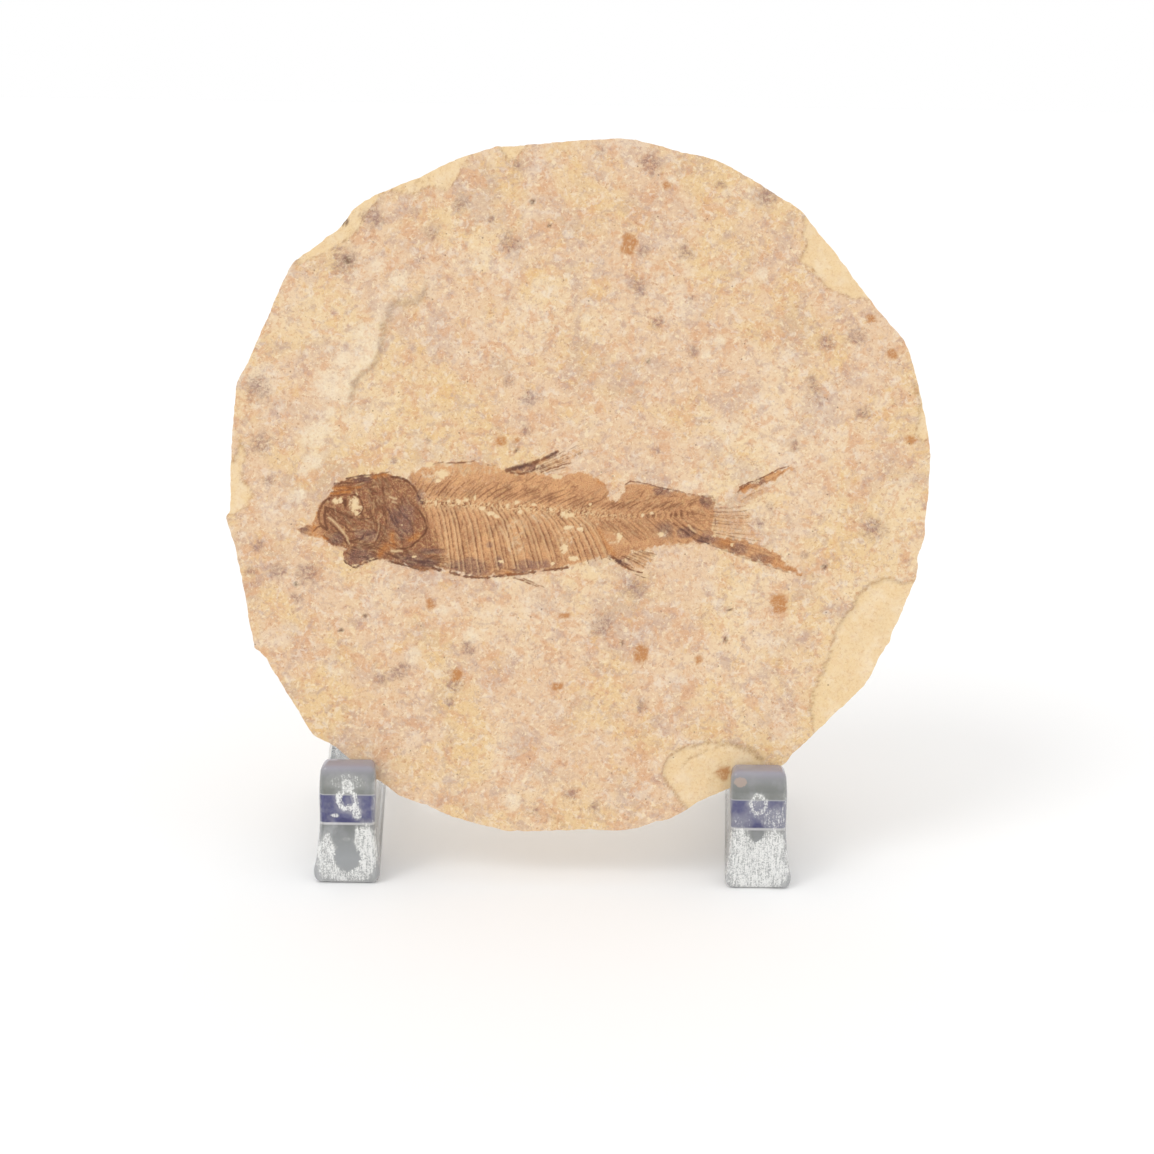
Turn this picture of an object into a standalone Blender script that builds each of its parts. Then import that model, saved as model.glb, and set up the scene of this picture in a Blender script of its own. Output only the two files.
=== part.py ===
"""A fossil fish in a thin limestone slab that stands leaning back in two clear feet.

Real size, in metres, +Z up. The fish side faces -Y and the floor is z = 0.
Outlines are in millimetres on the slab's own face: u to the right, v upward.
"""

import math

import bmesh
import bpy
from mathutils import Matrix, Vector

MM = 0.001
GAP = 0.3 * MM
WELD = 0.002 * MM
LEVEL = 0.01 * MM

# How the slab stands
LEAN = math.radians(15.0)
ROLL = math.radians(0.77)
FACE_CENTRE = Vector((0.048, -6.5, 77.9)) * MM

# The slab, and the steps in its broken rim: depth below the face and how far in
SLAB_THICKNESS = 8.0 * MM
RIM_STEPS = ((2.2 * MM, 0.45 * MM), (5.0 * MM, 1.0 * MM), (SLAB_THICKNESS, 1.5 * MM))
RIM_WOBBLE = 0.35 * MM
RIM_WAVES = ((17, 900), (41, 2300))
CHIP_DEPTH = 0.6 * MM
SCAR_RADIUS = 0.55 * MM
SCAR_LIFT = -0.2 * MM
POCKET_TOP = 1.0 * MM

# The fish: a thin film in a pocket, with its bones standing a little proud
FILM_TOP = 0.1 * MM
FILM_THICKNESS = 1.0 * MM
VERTEBRA_RADIUS = 0.62 * MM
VERTEBRA_LENGTH = 0.8 * MM
VERTEBRA_PITCH = 1.12 * MM
VERTEBRA_SIDES = 6
VERTEBRA_TAPER = 0.25
RIB_RADIUS = 0.27 * MM
SPINE_RADIUS = 0.22 * MM
RAY_RADIUS = 0.24 * MM
HEAD_RADIUS = 0.34 * MM
PLATE_LIFT = 0.35 * MM
PLATE_ROOT = 0.2 * MM
EYE_CENTRE = (-44.7, -3.9)
EYE_RADIUS = 1.85 * MM
EYE_SEGMENTS = (18, 4)

# How far the middle of each kind of bone lies under the film's top. No two are alike,
# so that no two bones share a face.
SPINE_SINK = 0.03 * MM
RIB_SINK = 0.04 * MM
RAY_SINK = 0.05 * MM
SKULL_SINK = 0.06 * MM

# Rows of bones, in millimetres on the face
RIBS = {"count": 24, "first": -29.0, "pitch": 1.38, "reach": 1.7, "more_reach": 2.0,
        "below_spine": 0.95, "above_belly": 1.2, "bow": 1.6, "steps": (0.0, 0.3, 0.65, 1.0)}
UPPER_SPINES = {"count": 21, "first": -26.5, "pitch": 2.3, "length": 4.0, "shorter": 0.09,
                "offset": 0.85, "slant": (0.8, 0.62)}
LOWER_SPINES = {"count": 7, "first": 5.4, "pitch": 2.3, "length": 5.2, "shorter": 0.35,
                "offset": -0.85, "slant": (0.75, -0.66)}
SCUTES = {"count": 19, "first": -28.0, "pitch": 1.35, "above_belly": 0.35, "radius": 0.36,
          "stretch": (1.5, 0.9, 0.9, 1.0)}

# The feet, as seen from the side and the front
FOOT_FRONT = -26.5 * MM
FOOT_BACK = 26.5 * MM
LIP_TOP = 24.9 * MM
UPRIGHT_TOP = 70.0 * MM
UPRIGHT_THICKNESS = 7.0 * MM
BASE_HEIGHT = 13.9 * MM
BASE_END_HEIGHT = 10.0 * MM
FOOT_WIDTH = 10.8 * MM
FOOT_FLARE = 1.4 * MM
FOOT_TAPER = 4.0 * MM
SHOULDER_LOW = 26.0 * MM
SHOULDER_HIGH = 29.0 * MM
SHOULDER_INSET = 1.3 * MM
FOOT_ROUNDING = 1.2 * MM
ROUNDING_SEGMENTS = 2
ROUNDED_FROM = math.radians(30)
FLAT_WITHIN = math.radians(1)
LEFT_INNER_SIDE = -39.3 * MM
RIGHT_INNER_SIDE = 31.0 * MM

SLAB_OUTLINE = [
    (-69.7, 0.0), (-69.6, 5.0), (-69.3, 10.0), (-68.7, 16.5), (-68.3, 20.6), (-66.0, 25.0),
    (-64.0, 29.5), (-61.6, 35.0), (-59.6, 39.8), (-57.5, 44.2), (-55.0, 46.4), (-52.5, 48.0),
    (-50.5, 49.8), (-47.5, 52.0), (-45.0, 55.4), (-43.0, 57.0), (-39.5, 58.7), (-36.0, 60.2),
    (-32.0, 61.7), (-28.5, 63.5), (-25.0, 65.2), (-20.0, 66.8), (-16.5, 67.8), (-11.0, 68.0),
    (-5.0, 68.6), (0.0, 69.0), (8.5, 69.5), (11.0, 69.2), (15.0, 68.3), (20.5, 66.7),
    (25.0, 65.9), (30.0, 64.0), (35.0, 61.1), (40.0, 57.9), (42.5, 56.5), (45.5, 54.0),
    (48.5, 50.2), (52.5, 45.3), (56.0, 40.3), (60.0, 35.0), (63.0, 31.5), (65.0, 29.4),
    (65.9, 27.5), (67.4, 22.5), (69.0, 16.0), (70.1, 10.5), (70.4, 6.0), (70.0, -2.0),
    (69.4, -7.0), (68.9, -11.5), (67.8, -14.5), (67.9, -16.5), (67.0, -20.0), (64.5, -26.0),
    (62.4, -31.2), (60.2, -34.5), (57.3, -40.0), (54.5, -42.8), (51.0, -46.0), (46.5, -50.3),
    (41.2, -55.8), (36.0, -58.5), (30.0, -60.7), (27.0, -62.0), (23.5, -63.6), (21.5, -65.0),
    (18.5, -66.6), (15.0, -67.4), (11.5, -68.6), (9.0, -69.0), (2.0, -68.75), (-5.0, -69.0),
    (-12.0, -69.2), (-17.0, -68.5), (-20.5, -67.6), (-25.0, -66.3), (-30.0, -64.1),
    (-35.0, -62.4), (-38.0, -60.4), (-40.0, -58.9), (-48.6, -52.3), (-53.0, -50.0),
    (-55.5, -46.0), (-58.0, -42.0), (-60.5, -38.0), (-62.5, -34.5), (-64.8, -32.5),
    (-65.8, -27.5), (-67.5, -18.0), (-68.6, -12.5), (-70.1, -7.8), (-70.5, -6.3), (-69.8, -5.0),
]

# Flakes lost from the face's edge. Each runs out past the rim.
CHIPS = [
    [(-56.0, 44.0), (-54.0, 45.2), (-50.5, 47.0), (-46.0, 49.5), (-44.0, 51.0), (-42.0, 55.0),
     (-39.5, 57.9), (-38.0, 63.0), (-58.0, 52.0)],
    [(-38.5, 59.0), (-33.0, 58.5), (-30.0, 60.0), (-27.0, 58.8), (-24.5, 60.8), (-22.0, 65.0),
     (-20.5, 70.0), (-36.5, 64.0)],
    [(-16.0, 70.0), (-15.5, 67.0), (-14.0, 65.0), (-12.5, 65.0), (-10.6, 67.5), (-10.0, 70.0)],
    [(46.5, 56.0), (45.5, 48.0), (44.3, 45.5), (46.0, 43.7), (50.0, 39.5), (54.0, 37.7),
     (60.0, 37.3), (60.0, 44.0)],
    [(70.0, -18.3), (65.0, -19.3), (61.5, -18.5), (58.0, -19.8), (56.0, -22.0), (54.5, -24.5),
     (52.5, -27.0), (51.0, -31.0), (49.5, -36.0), (47.5, -40.0), (46.5, -43.0), (46.4, -46.0),
     (46.2, -53.0), (62.0, -44.0), (72.0, -20.0)],
    [(22.0, -67.0), (20.0, -62.0), (16.8, -58.0), (18.0, -54.0), (20.0, -52.8), (25.0, -51.2),
     (30.0, -51.5), (34.0, -52.5), (37.0, -54.5), (40.0, -60.0), (34.0, -66.0)],
]

SCAR_LINE = [(-31.2, 40.2), (-31.6, 38.4), (-33.2, 37.0), (-35.2, 36.8), (-37.3, 37.1),
             (-38.5, 34.0), (-39.5, 30.0), (-40.1, 27.0), (-41.2, 25.0), (-44.0, 22.0),
             (-45.5, 20.0), (-46.2, 16.0)]

FISH_OUTLINE = [
    (-56.6, -8.5), (-55.0, -8.4), (-53.8, -7.3), (-52.9, -7.1), (-52.5, -5.2), (-52.2, -3.5),
    (-51.0, -2.6), (-50.0, -2.1), (-49.6, -0.9), (-48.9, 0.5), (-46.0, 1.7), (-43.0, 2.4),
    (-40.0, 2.8), (-37.7, 2.8), (-36.6, 2.0), (-35.0, 2.0), (-33.5, 3.2), (-30.5, 4.9),
    (-26.0, 5.3), (-21.5, 5.4), (-19.0, 6.0), (-17.3, 5.5), (-16.3, 4.2), (-14.5, 3.8),
    (-11.0, 4.7), (-7.0, 5.9), (-5.3, 7.2), (-3.0, 7.0), (-0.6, 8.2), (3.0, 7.6),
    (1.4, 5.8), (0.0, 4.9), (-2.8, 3.9), (-1.6, 3.2), (0.4, 3.1), (2.6, 2.4),
    (4.5, 1.4), (6.4, 1.2), (6.1, -0.6), (6.2, -2.8), (7.8, -2.9), (8.4, -1.9),
    (8.1, -0.3), (9.3, 0.2), (10.2, 1.0), (13.0, 0.6), (16.0, -0.2), (19.5, -0.9),
    (23.0, -1.9), (26.8, -1.9), (27.4, -3.4), (28.7, -3.8), (29.6, -4.7), (31.0, -4.4),
    (31.7, -3.2), (33.1, -2.3), (32.9, -1.8), (31.8, -1.6), (32.3, -0.2), (35.0, 1.0),
    (38.0, 2.3), (40.0, 3.5), (42.0, 4.0), (44.4, 4.1), (42.2, 2.5), (40.0, 1.1),
    (38.2, -0.6), (37.6, -2.6), (35.4, -3.6), (35.6, -6.0), (35.9, -8.6), (37.3, -10.4),
    (39.2, -12.3), (41.5, -14.8), (44.2, -16.6), (46.5, -18.4), (43.0, -17.9), (38.5, -16.3),
    (34.0, -14.9), (30.0, -13.4), (27.0, -12.2), (23.0, -11.7), (19.0, -12.0), (15.8, -12.8),
    (15.6, -13.8), (14.2, -15.6), (13.8, -17.0), (14.0, -18.7), (11.5, -17.9), (8.5, -16.2),
    (5.4, -14.4), (2.6, -15.4), (-0.6, -16.3), (-4.0, -16.9), (-8.8, -17.3), (-9.2, -18.5),
    (-6.7, -20.5), (-9.4, -20.1), (-12.0, -18.8), (-16.0, -18.2), (-20.0, -18.7),
    (-24.5, -18.0), (-29.0, -16.9), (-31.4, -17.4), (-33.6, -16.4), (-36.5, -15.8),
    (-38.6, -15.2), (-41.0, -16.3), (-44.8, -16.6), (-47.2, -15.1), (-46.9, -13.1),
    (-49.7, -11.8), (-51.2, -10.8), (-54.0, -10.1), (-56.2, -9.6),
]

SPINE_LINE = [(-29.4, -2.9), (-25.0, -3.1), (-20.0, -3.6), (-15.0, -4.0), (-10.0, -4.5),
              (-5.0, -5.0), (0.0, -5.5), (5.0, -5.9), (10.0, -6.1), (15.0, -6.0), (22.6, -5.6)]
BELLY_LINE = [(-30.0, -16.0), (-20.0, -17.7), (-10.0, -17.2), (0.0, -15.6), (6.0, -14.2)]

# The skull: bars of bone as lines, and flat plates as outlines
HEAD_BARS = [
    [(-55.6, -9.2), (-53.2, -9.4), (-50.6, -10.0), (-47.4, -11.4)],
    [(-51.8, -4.7), (-52.0, -6.4), (-51.5, -7.7), (-50.6, -8.4)],
    [(-48.4, -7.2), (-47.2, -8.8), (-46.4, -10.4)],
    [(-49.8, -4.3), (-47.4, -5.3), (-45.0, -6.4), (-42.6, -6.9)],
    [(-48.4, 0.4), (-45.2, 0.4), (-42.2, 1.2), (-39.0, 2.2)],
    [(-49.2, -1.2), (-47.0, -1.2), (-44.8, -0.6), (-42.4, -0.2)],
    [(-40.4, -3.4), (-40.0, -6.4), (-40.2, -9.4), (-41.3, -11.2), (-43.6, -11.7), (-45.6, -10.9)],
    [(-36.0, 1.4), (-34.0, 0.8), (-32.6, -0.6)],
    [(-45.8, -13.6), (-42.0, -13.0), (-38.6, -13.6), (-34.6, -13.0), (-31.4, -13.8)],
]
HEAD_PLATES = [
    [(-38.2, -1.6), (-36.0, 0.2), (-33.6, -1.0), (-31.8, -3.0), (-31.0, -5.6), (-31.4, -8.2),
     (-33.0, -10.8), (-35.2, -11.9), (-37.4, -11.9), (-38.6, -9.0), (-38.9, -5.0)],
    [(-45.6, -14.4), (-42.6, -14.2), (-41.4, -15.2), (-44.6, -15.8), (-46.2, -15.2)],
    [(-46.2, -8.2), (-43.0, -7.8), (-41.2, -8.4), (-41.6, -10.2), (-43.8, -10.7), (-45.4, -9.9)],
]

# Fin rays, from root to tip
DORSAL_RAYS = [
    [(-14.0, 3.3), (-9.0, 4.7), (-4.6, 6.6)], [(-10.2, 3.5), (-6.0, 5.1), (-2.2, 6.6)],
    [(-9.2, 2.9), (-5.4, 4.3), (-0.8, 5.5)], [(-8.4, 2.2), (-5.4, 3.2), (-3.4, 3.9)],
]
ANAL_RAYS = [
    [(6.6, -14.4), (9.6, -16.2), (13.2, -18.0)], [(8.6, -14.2), (11.0, -15.4), (13.2, -16.6)],
    [(10.0, -13.6), (12.0, -14.4), (13.8, -15.2)], [(11.6, -13.0), (13.4, -13.6), (15.0, -14.2)],
]
TAIL_RAYS = [
    [(32.4, -0.9), (37.0, 1.2), (42.4, 3.6)], [(32.6, -2.9), (35.6, -1.7), (38.0, -0.2)],
    [(26.0, -5.6), (30.0, -5.3), (34.4, -5.2)], [(25.4, -6.9), (30.0, -6.8), (34.8, -6.7)],
    [(25.4, -8.2), (30.0, -8.2), (35.2, -8.4)], [(25.0, -9.4), (30.0, -10.2), (37.2, -11.5)],
    [(24.2, -10.3), (31.0, -12.0), (40.0, -14.4)], [(22.8, -11.1), (31.0, -13.2), (44.0, -17.5)],
]
PELVIC_RAYS = [[(-12.4, -18.2), (-10.0, -19.0), (-8.0, -20.0)]]


def empty_scene():
    for obj in list(bpy.data.objects):
        bpy.data.objects.remove(obj, do_unlink=True)
    for collection in list(bpy.data.collections):
        bpy.data.collections.remove(collection)


def new_collection(name):
    collection = bpy.data.collections.new(name)
    bpy.context.scene.collection.children.link(collection)
    return collection


def new_material(name, colour, roughness, transmission=0.0):
    material = bpy.data.materials.new(name)
    material.use_nodes = True
    shader = material.node_tree.nodes["Principled BSDF"]
    shader.inputs["Base Color"].default_value = (*colour, 1.0)
    shader.inputs["Roughness"].default_value = roughness
    shader.inputs["Metallic"].default_value = 0.0
    shader.inputs["Transmission Weight"].default_value = transmission
    return material


def add_object(name, mesh, collection, parent=None):
    obj = bpy.data.objects.new(name, mesh)
    collection.objects.link(obj)
    obj.parent = parent
    return obj


def make_helper(obj):
    obj.hide_render = True
    obj.display_type = "WIRE"


def curve_mesh(curve, name):
    """The curve's solid as a mesh, with its caps welded on, and the curve taken away."""
    obj = bpy.data.objects.new(name, curve)
    bpy.context.scene.collection.objects.link(obj)
    bpy.context.view_layer.update()
    depsgraph = bpy.context.evaluated_depsgraph_get()
    mesh = bpy.data.meshes.new_from_object(obj.evaluated_get(depsgraph))
    mesh.name = name
    bpy.data.objects.remove(obj)
    bpy.data.curves.remove(curve)
    bm = bmesh.new()
    bm.from_mesh(mesh)
    bmesh.ops.remove_doubles(bm, verts=bm.verts, dist=WELD)
    bmesh.ops.recalc_face_normals(bm, faces=bm.faces)
    bm.to_mesh(mesh)
    bm.free()
    return mesh


def plate_mesh(name, outlines, bottom, top):
    """Flat plates of the given outlines, in millimetres, between two heights in metres."""
    curve = bpy.data.curves.new(name, "CURVE")
    curve.dimensions = "2D"
    curve.fill_mode = "BOTH"
    curve.extrude = (top - bottom) / 2
    for outline in outlines:
        spline = curve.splines.new("POLY")
        spline.points.add(len(outline) - 1)
        spline.use_cyclic_u = True
        for point, (u, v) in zip(spline.points, outline):
            point.co = (u * MM, v * MM, 0.0, 1.0)
    mesh = curve_mesh(curve, name)
    mesh.transform(Matrix.Translation((0.0, 0.0, (top + bottom) / 2)))
    return mesh


def bars_mesh(name, lines, radius, height):
    """Four-sided bars along lines on the face, half sunk at the given height."""
    curve = bpy.data.curves.new(name, "CURVE")
    curve.dimensions = "3D"
    curve.bevel_depth = radius
    curve.bevel_resolution = 0
    curve.use_fill_caps = True
    for line in lines:
        spline = curve.splines.new("POLY")
        spline.points.add(len(line) - 1)
        for point, (u, v) in zip(spline.points, line):
            point.co = (u * MM, v * MM, height, 1.0)
    return curve_mesh(curve, name)


def grown(outline, distance):
    """The outline moved outward by a distance in millimetres."""
    count = len(outline)
    points = [Vector(point) for point in outline]
    area = sum(points[i - 1].cross(points[i]) for i in range(count))
    side = 1.0 if area > 0 else -1.0
    moved = []
    for i, point in enumerate(points):
        before = (point - points[i - 1]).normalized()
        after = (points[(i + 1) % count] - point).normalized()
        normal_before = Vector((before.y, -before.x)) * side
        normal_after = Vector((after.y, -after.x)) * side
        middle = (normal_before + normal_after).normalized()
        miter = distance / max(middle.dot(normal_before), 0.5)
        moved.append(tuple(point + middle * miter))
    return moved


def at(line, u):
    """The line's height v at u."""
    for (u0, v0), (u1, v1) in zip(line, line[1:]):
        if u <= u1:
            return v0 + (v1 - v0) * (u - u0) / (u1 - u0)
    return line[-1][1]


def boolean(obj, other, operation):
    modifier = obj.modifiers.new(other.name, "BOOLEAN")
    modifier.operation = operation
    modifier.solver = "EXACT"
    modifier.object = other


def step_rim(mesh):
    """Cuts rings into the plate's side and draws each ring in, so the rim breaks in layers."""
    bm = bmesh.new()
    bm.from_mesh(mesh)
    for depth, _ in RIM_STEPS[:-1]:
        geometry = bm.verts[:] + bm.edges[:] + bm.faces[:]
        bmesh.ops.bisect_plane(bm, geom=geometry, dist=WELD,
                               plane_co=(0, 0, -depth), plane_no=(0, 0, 1))
    for vert in bm.verts:
        for depth, inset in RIM_STEPS:
            if abs(vert.co.z + depth) < LEVEL:
                angle = math.atan2(vert.co.y, vert.co.x)
                wobble = sum(math.sin(angle * waves + depth * shift) for waves, shift in RIM_WAVES)
                outward = Vector((vert.co.x, vert.co.y, 0)).normalized()
                vert.co -= outward * (inset + RIM_WOBBLE * (wobble + 1) / 2)
    bm.to_mesh(mesh)
    bm.free()


def vertebrae_mesh():
    bm = bmesh.new()
    start = SPINE_LINE[0][0] * MM
    end = SPINE_LINE[-1][0] * MM
    count = int((end - start) / VERTEBRA_PITCH)
    for i in range(count):
        u = start + VERTEBRA_PITCH * (i + 0.5)
        v = at(SPINE_LINE, u / MM) * MM
        slope = (at(SPINE_LINE, u / MM + 1) - at(SPINE_LINE, u / MM - 1)) / 2
        turn = Matrix.Rotation(math.atan(slope), 4, "Z") @ Matrix.Rotation(math.pi / 2, 4, "Y")
        place = Matrix.Translation((u, v, FILM_TOP)) @ turn
        radius = VERTEBRA_RADIUS * (1.0 - VERTEBRA_TAPER * i / count)
        bmesh.ops.create_cone(bm, cap_ends=True, segments=VERTEBRA_SIDES, depth=VERTEBRA_LENGTH,
                              radius1=radius, radius2=radius, matrix=place)
    mesh = bpy.data.meshes.new("vertebrae")
    bm.to_mesh(mesh)
    bm.free()
    return mesh


def rib_lines():
    """Ribs run down and back from under the spine, each bowing toward the tail."""
    lines = []
    for i in range(RIBS["count"]):
        share = i / (RIBS["count"] - 1)
        u0 = RIBS["first"] + RIBS["pitch"] * i
        reach = RIBS["reach"] + RIBS["more_reach"] * share
        v0 = at(SPINE_LINE, u0) - RIBS["below_spine"]
        v1 = at(BELLY_LINE, u0 + reach) + RIBS["above_belly"]
        line = []
        for t in RIBS["steps"]:
            line.append((u0 + reach * (1 - (1 - t) ** RIBS["bow"]), v0 + (v1 - v0) * t))
        lines.append(line)
    return lines


def spine_lines():
    """Short spines above the backbone, and below it behind the ribs."""
    lines = []
    for row in (UPPER_SPINES, LOWER_SPINES):
        for i in range(row["count"]):
            u0 = row["first"] + row["pitch"] * i
            v0 = at(SPINE_LINE, u0) + row["offset"]
            length = row["length"] - row["shorter"] * i
            lines.append([(u0, v0), (u0 + length * row["slant"][0], v0 + length * row["slant"][1])])
    return lines


def scutes_mesh():
    """The keel of small scutes along the belly."""
    bm = bmesh.new()
    stretch = Matrix.Diagonal(SCUTES["stretch"])
    for i in range(SCUTES["count"]):
        u = SCUTES["first"] + SCUTES["pitch"] * i
        v = at(BELLY_LINE, u) + SCUTES["above_belly"]
        place = Matrix.Translation((u * MM, v * MM, FILM_TOP))
        bmesh.ops.create_icosphere(bm, subdivisions=1, radius=SCUTES["radius"] * MM,
                                   matrix=place @ stretch)
    mesh = bpy.data.meshes.new("scutes")
    bm.to_mesh(mesh)
    bm.free()
    return mesh


def eye_mesh():
    around, across = EYE_SEGMENTS
    bpy.ops.mesh.primitive_torus_add(major_segments=around, minor_segments=across,
                                     major_radius=EYE_RADIUS, minor_radius=HEAD_RADIUS)
    ring = bpy.context.object
    mesh = ring.data
    mesh.name = "eye_ring"
    bpy.data.objects.remove(ring)
    mesh.transform(Matrix.Translation((EYE_CENTRE[0] * MM, EYE_CENTRE[1] * MM, FILM_TOP)))
    return mesh


def build_slab(parts, helpers, stand):
    mesh = plate_mesh("limestone_slab", [SLAB_OUTLINE], -SLAB_THICKNESS, 0.0)
    step_rim(mesh)
    slab = add_object("limestone_slab", mesh, parts, stand)
    slab.data.materials.append(new_material("limestone", (0.74, 0.60, 0.43), 0.85))
    scar = bars_mesh("scar_ridge", [SCAR_LINE], SCAR_RADIUS, SCAR_LIFT)
    chips = plate_mesh("edge_flakes", CHIPS, -CHIP_DEPTH, CHIP_DEPTH)
    floor = FILM_TOP - FILM_THICKNESS - GAP
    pocket = plate_mesh("fish_pocket", [grown(FISH_OUTLINE, GAP / MM)], floor, POCKET_TOP)
    tools = ((chips, "DIFFERENCE"), (pocket, "DIFFERENCE"), (scar, "UNION"))
    for tool_mesh, operation in tools:
        tool = add_object(tool_mesh.name, tool_mesh, helpers, stand)
        make_helper(tool)
        boolean(slab, tool, operation)


def build_fish(parts, helpers, stand):
    mesh = plate_mesh("fossil_fish", [FISH_OUTLINE], FILM_TOP - FILM_THICKNESS, FILM_TOP)
    fish = add_object("fossil_fish", mesh, parts, stand)
    fish.data.materials.append(new_material("fossil_bone", (0.36, 0.19, 0.10), 0.7))
    rays = DORSAL_RAYS + ANAL_RAYS + TAIL_RAYS + PELVIC_RAYS
    bones = [
        vertebrae_mesh(),
        bars_mesh("ribs", rib_lines(), RIB_RADIUS, FILM_TOP - RIB_SINK),
        bars_mesh("spines", spine_lines(), SPINE_RADIUS, FILM_TOP - SPINE_SINK),
        bars_mesh("fin_rays", rays, RAY_RADIUS, FILM_TOP - RAY_SINK),
        bars_mesh("skull_bars", HEAD_BARS, HEAD_RADIUS, FILM_TOP - SKULL_SINK),
        plate_mesh("skull_plates", HEAD_PLATES, FILM_TOP - PLATE_ROOT, FILM_TOP + PLATE_LIFT),
        eye_mesh(),
        scutes_mesh(),
    ]
    skeleton = bpy.data.collections.new("skeleton")
    helpers.children.link(skeleton)
    for bone_mesh in bones:
        make_helper(add_object(bone_mesh.name, bone_mesh, skeleton, stand))
    union = fish.modifiers.new("skeleton", "BOOLEAN")
    union.operation = "UNION"
    union.solver = "EXACT"
    union.operand_type = "COLLECTION"
    union.collection = skeleton
    union.use_self = True


def rim_low(x_low, x_high):
    """How far below the face centre, along the lean, the slab's rim reaches between two sides."""
    lowest = 0.0
    count = len(SLAB_OUTLINE)
    steps = 20
    for i in range(count):
        start = Vector(SLAB_OUTLINE[i - 1])
        end = Vector(SLAB_OUTLINE[i])
        for k in range(steps + 1):
            u, v = start.lerp(end, k / steps) * MM
            x = FACE_CENTRE.x + u * math.cos(ROLL) - v * math.sin(ROLL)
            if x_low <= x <= x_high:
                lowest = min(lowest, v * math.cos(ROLL) + u * math.sin(ROLL))
    return lowest


def on_lean(along, behind):
    """(y, z) of a point up the lean from the face centre and behind the face."""
    y = FACE_CENTRE.y + along * math.sin(LEAN) + behind * math.cos(LEAN)
    z = FACE_CENTRE.z + along * math.cos(LEAN) - behind * math.sin(LEAN)
    return (y, z)


def up_lean(z, behind):
    """How far up the lean a height z is, behind the face."""
    return (z - FACE_CENTRE.z + behind * math.sin(LEAN)) / math.cos(LEAN)


def foot_profile(seat):
    """The foot from the side: lip, tilted slot, upright and base, as (y, z) points."""
    slot_back = SLAB_THICKNESS + GAP
    rear = slot_back + UPRIGHT_THICKNESS
    return [
        (FOOT_FRONT, 0.0),
        (FOOT_FRONT, LIP_TOP),
        on_lean(up_lean(LIP_TOP, -GAP), -GAP),
        on_lean(seat, -GAP),
        on_lean(seat, slot_back),
        on_lean(up_lean(UPRIGHT_TOP, slot_back), slot_back),
        on_lean(up_lean(UPRIGHT_TOP, rear), rear),
        on_lean(up_lean(BASE_HEIGHT, rear), rear),
        (FOOT_BACK, BASE_END_HEIGHT),
        (FOOT_BACK, 0.0),
    ]


def narrow_foot(bm, outward):
    """Draws the outer side in toward the top, and the inner side out toward the back."""
    for height in (LIP_TOP, SHOULDER_LOW, SHOULDER_HIGH):
        geometry = bm.verts[:] + bm.edges[:] + bm.faces[:]
        bmesh.ops.bisect_plane(bm, geom=geometry, dist=WELD,
                               plane_co=(0, 0, height), plane_no=(0, 0, 1))
    for vert in bm.verts:
        height = vert.co.z
        if vert.co.x * outward > 0:
            shoulder = (height - SHOULDER_LOW) / (SHOULDER_HIGH - SHOULDER_LOW)
            inset = FOOT_FLARE * min(height / LIP_TOP, 1.0)
            inset += SHOULDER_INSET * min(max(shoulder, 0.0), 1.0)
            vert.co.x -= outward * inset
        else:
            share = (vert.co.y - FOOT_FRONT) / (FOOT_BACK - FOOT_FRONT)
            vert.co.x += outward * FOOT_TAPER * share


def build_foot(name, inner, outward, material, parts):
    """One foot, from its side profile. Its outer side leans out to the floor."""
    half = (FOOT_WIDTH + FOOT_FLARE) / 2
    middle = inner + outward * half
    seat = rim_low(middle - half, middle + half) - GAP
    profile = [(y / MM, z / MM) for y, z in foot_profile(seat)]
    mesh = plate_mesh(name, [profile], -half, half)
    upright = Matrix(((0, 0, 1, 0), (1, 0, 0, 0), (0, 1, 0, 0), (0, 0, 0, 1)))
    mesh.transform(upright)
    bm = bmesh.new()
    bm.from_mesh(mesh)
    bmesh.ops.dissolve_limit(bm, angle_limit=FLAT_WITHIN, verts=bm.verts, edges=bm.edges)
    narrow_foot(bm, outward)
    bmesh.ops.recalc_face_normals(bm, faces=bm.faces)
    weight = bm.edges.layers.float.new("bevel_weight_edge")
    for edge in bm.edges:
        if edge.calc_face_angle_signed() > ROUNDED_FROM:
            edge[weight] = 1.0
    bm.to_mesh(mesh)
    bm.free()
    foot = add_object(name, mesh, parts)
    foot.location.x = middle
    foot.data.materials.append(material)
    bevel = foot.modifiers.new("rounded_edges", "BEVEL")
    bevel.limit_method = "WEIGHT"
    bevel.width = FOOT_ROUNDING
    bevel.segments = ROUNDING_SEGMENTS


def main():
    empty_scene()
    parts = new_collection("fossil_fish_slab")
    helpers = new_collection("helpers")
    stand = bpy.data.objects.new("lean", None)
    parts.objects.link(stand)
    stand.location = FACE_CENTRE
    stand.rotation_mode = "ZYX"
    stand.rotation_euler = (math.pi / 2 - LEAN, 0.0, ROLL)
    build_slab(parts, helpers, stand)
    build_fish(parts, helpers, stand)
    acrylic = new_material("clear_acrylic", (0.80, 0.82, 0.84), 0.08, 0.9)
    build_foot("left_stand_foot", LEFT_INNER_SIDE, -1, acrylic, parts)
    build_foot("right_stand_foot", RIGHT_INNER_SIDE, 1, acrylic, parts)


main()
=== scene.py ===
import math
import random

import bmesh
import bpy
import numpy as np
from mathutils import Matrix, Vector, noise


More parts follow.
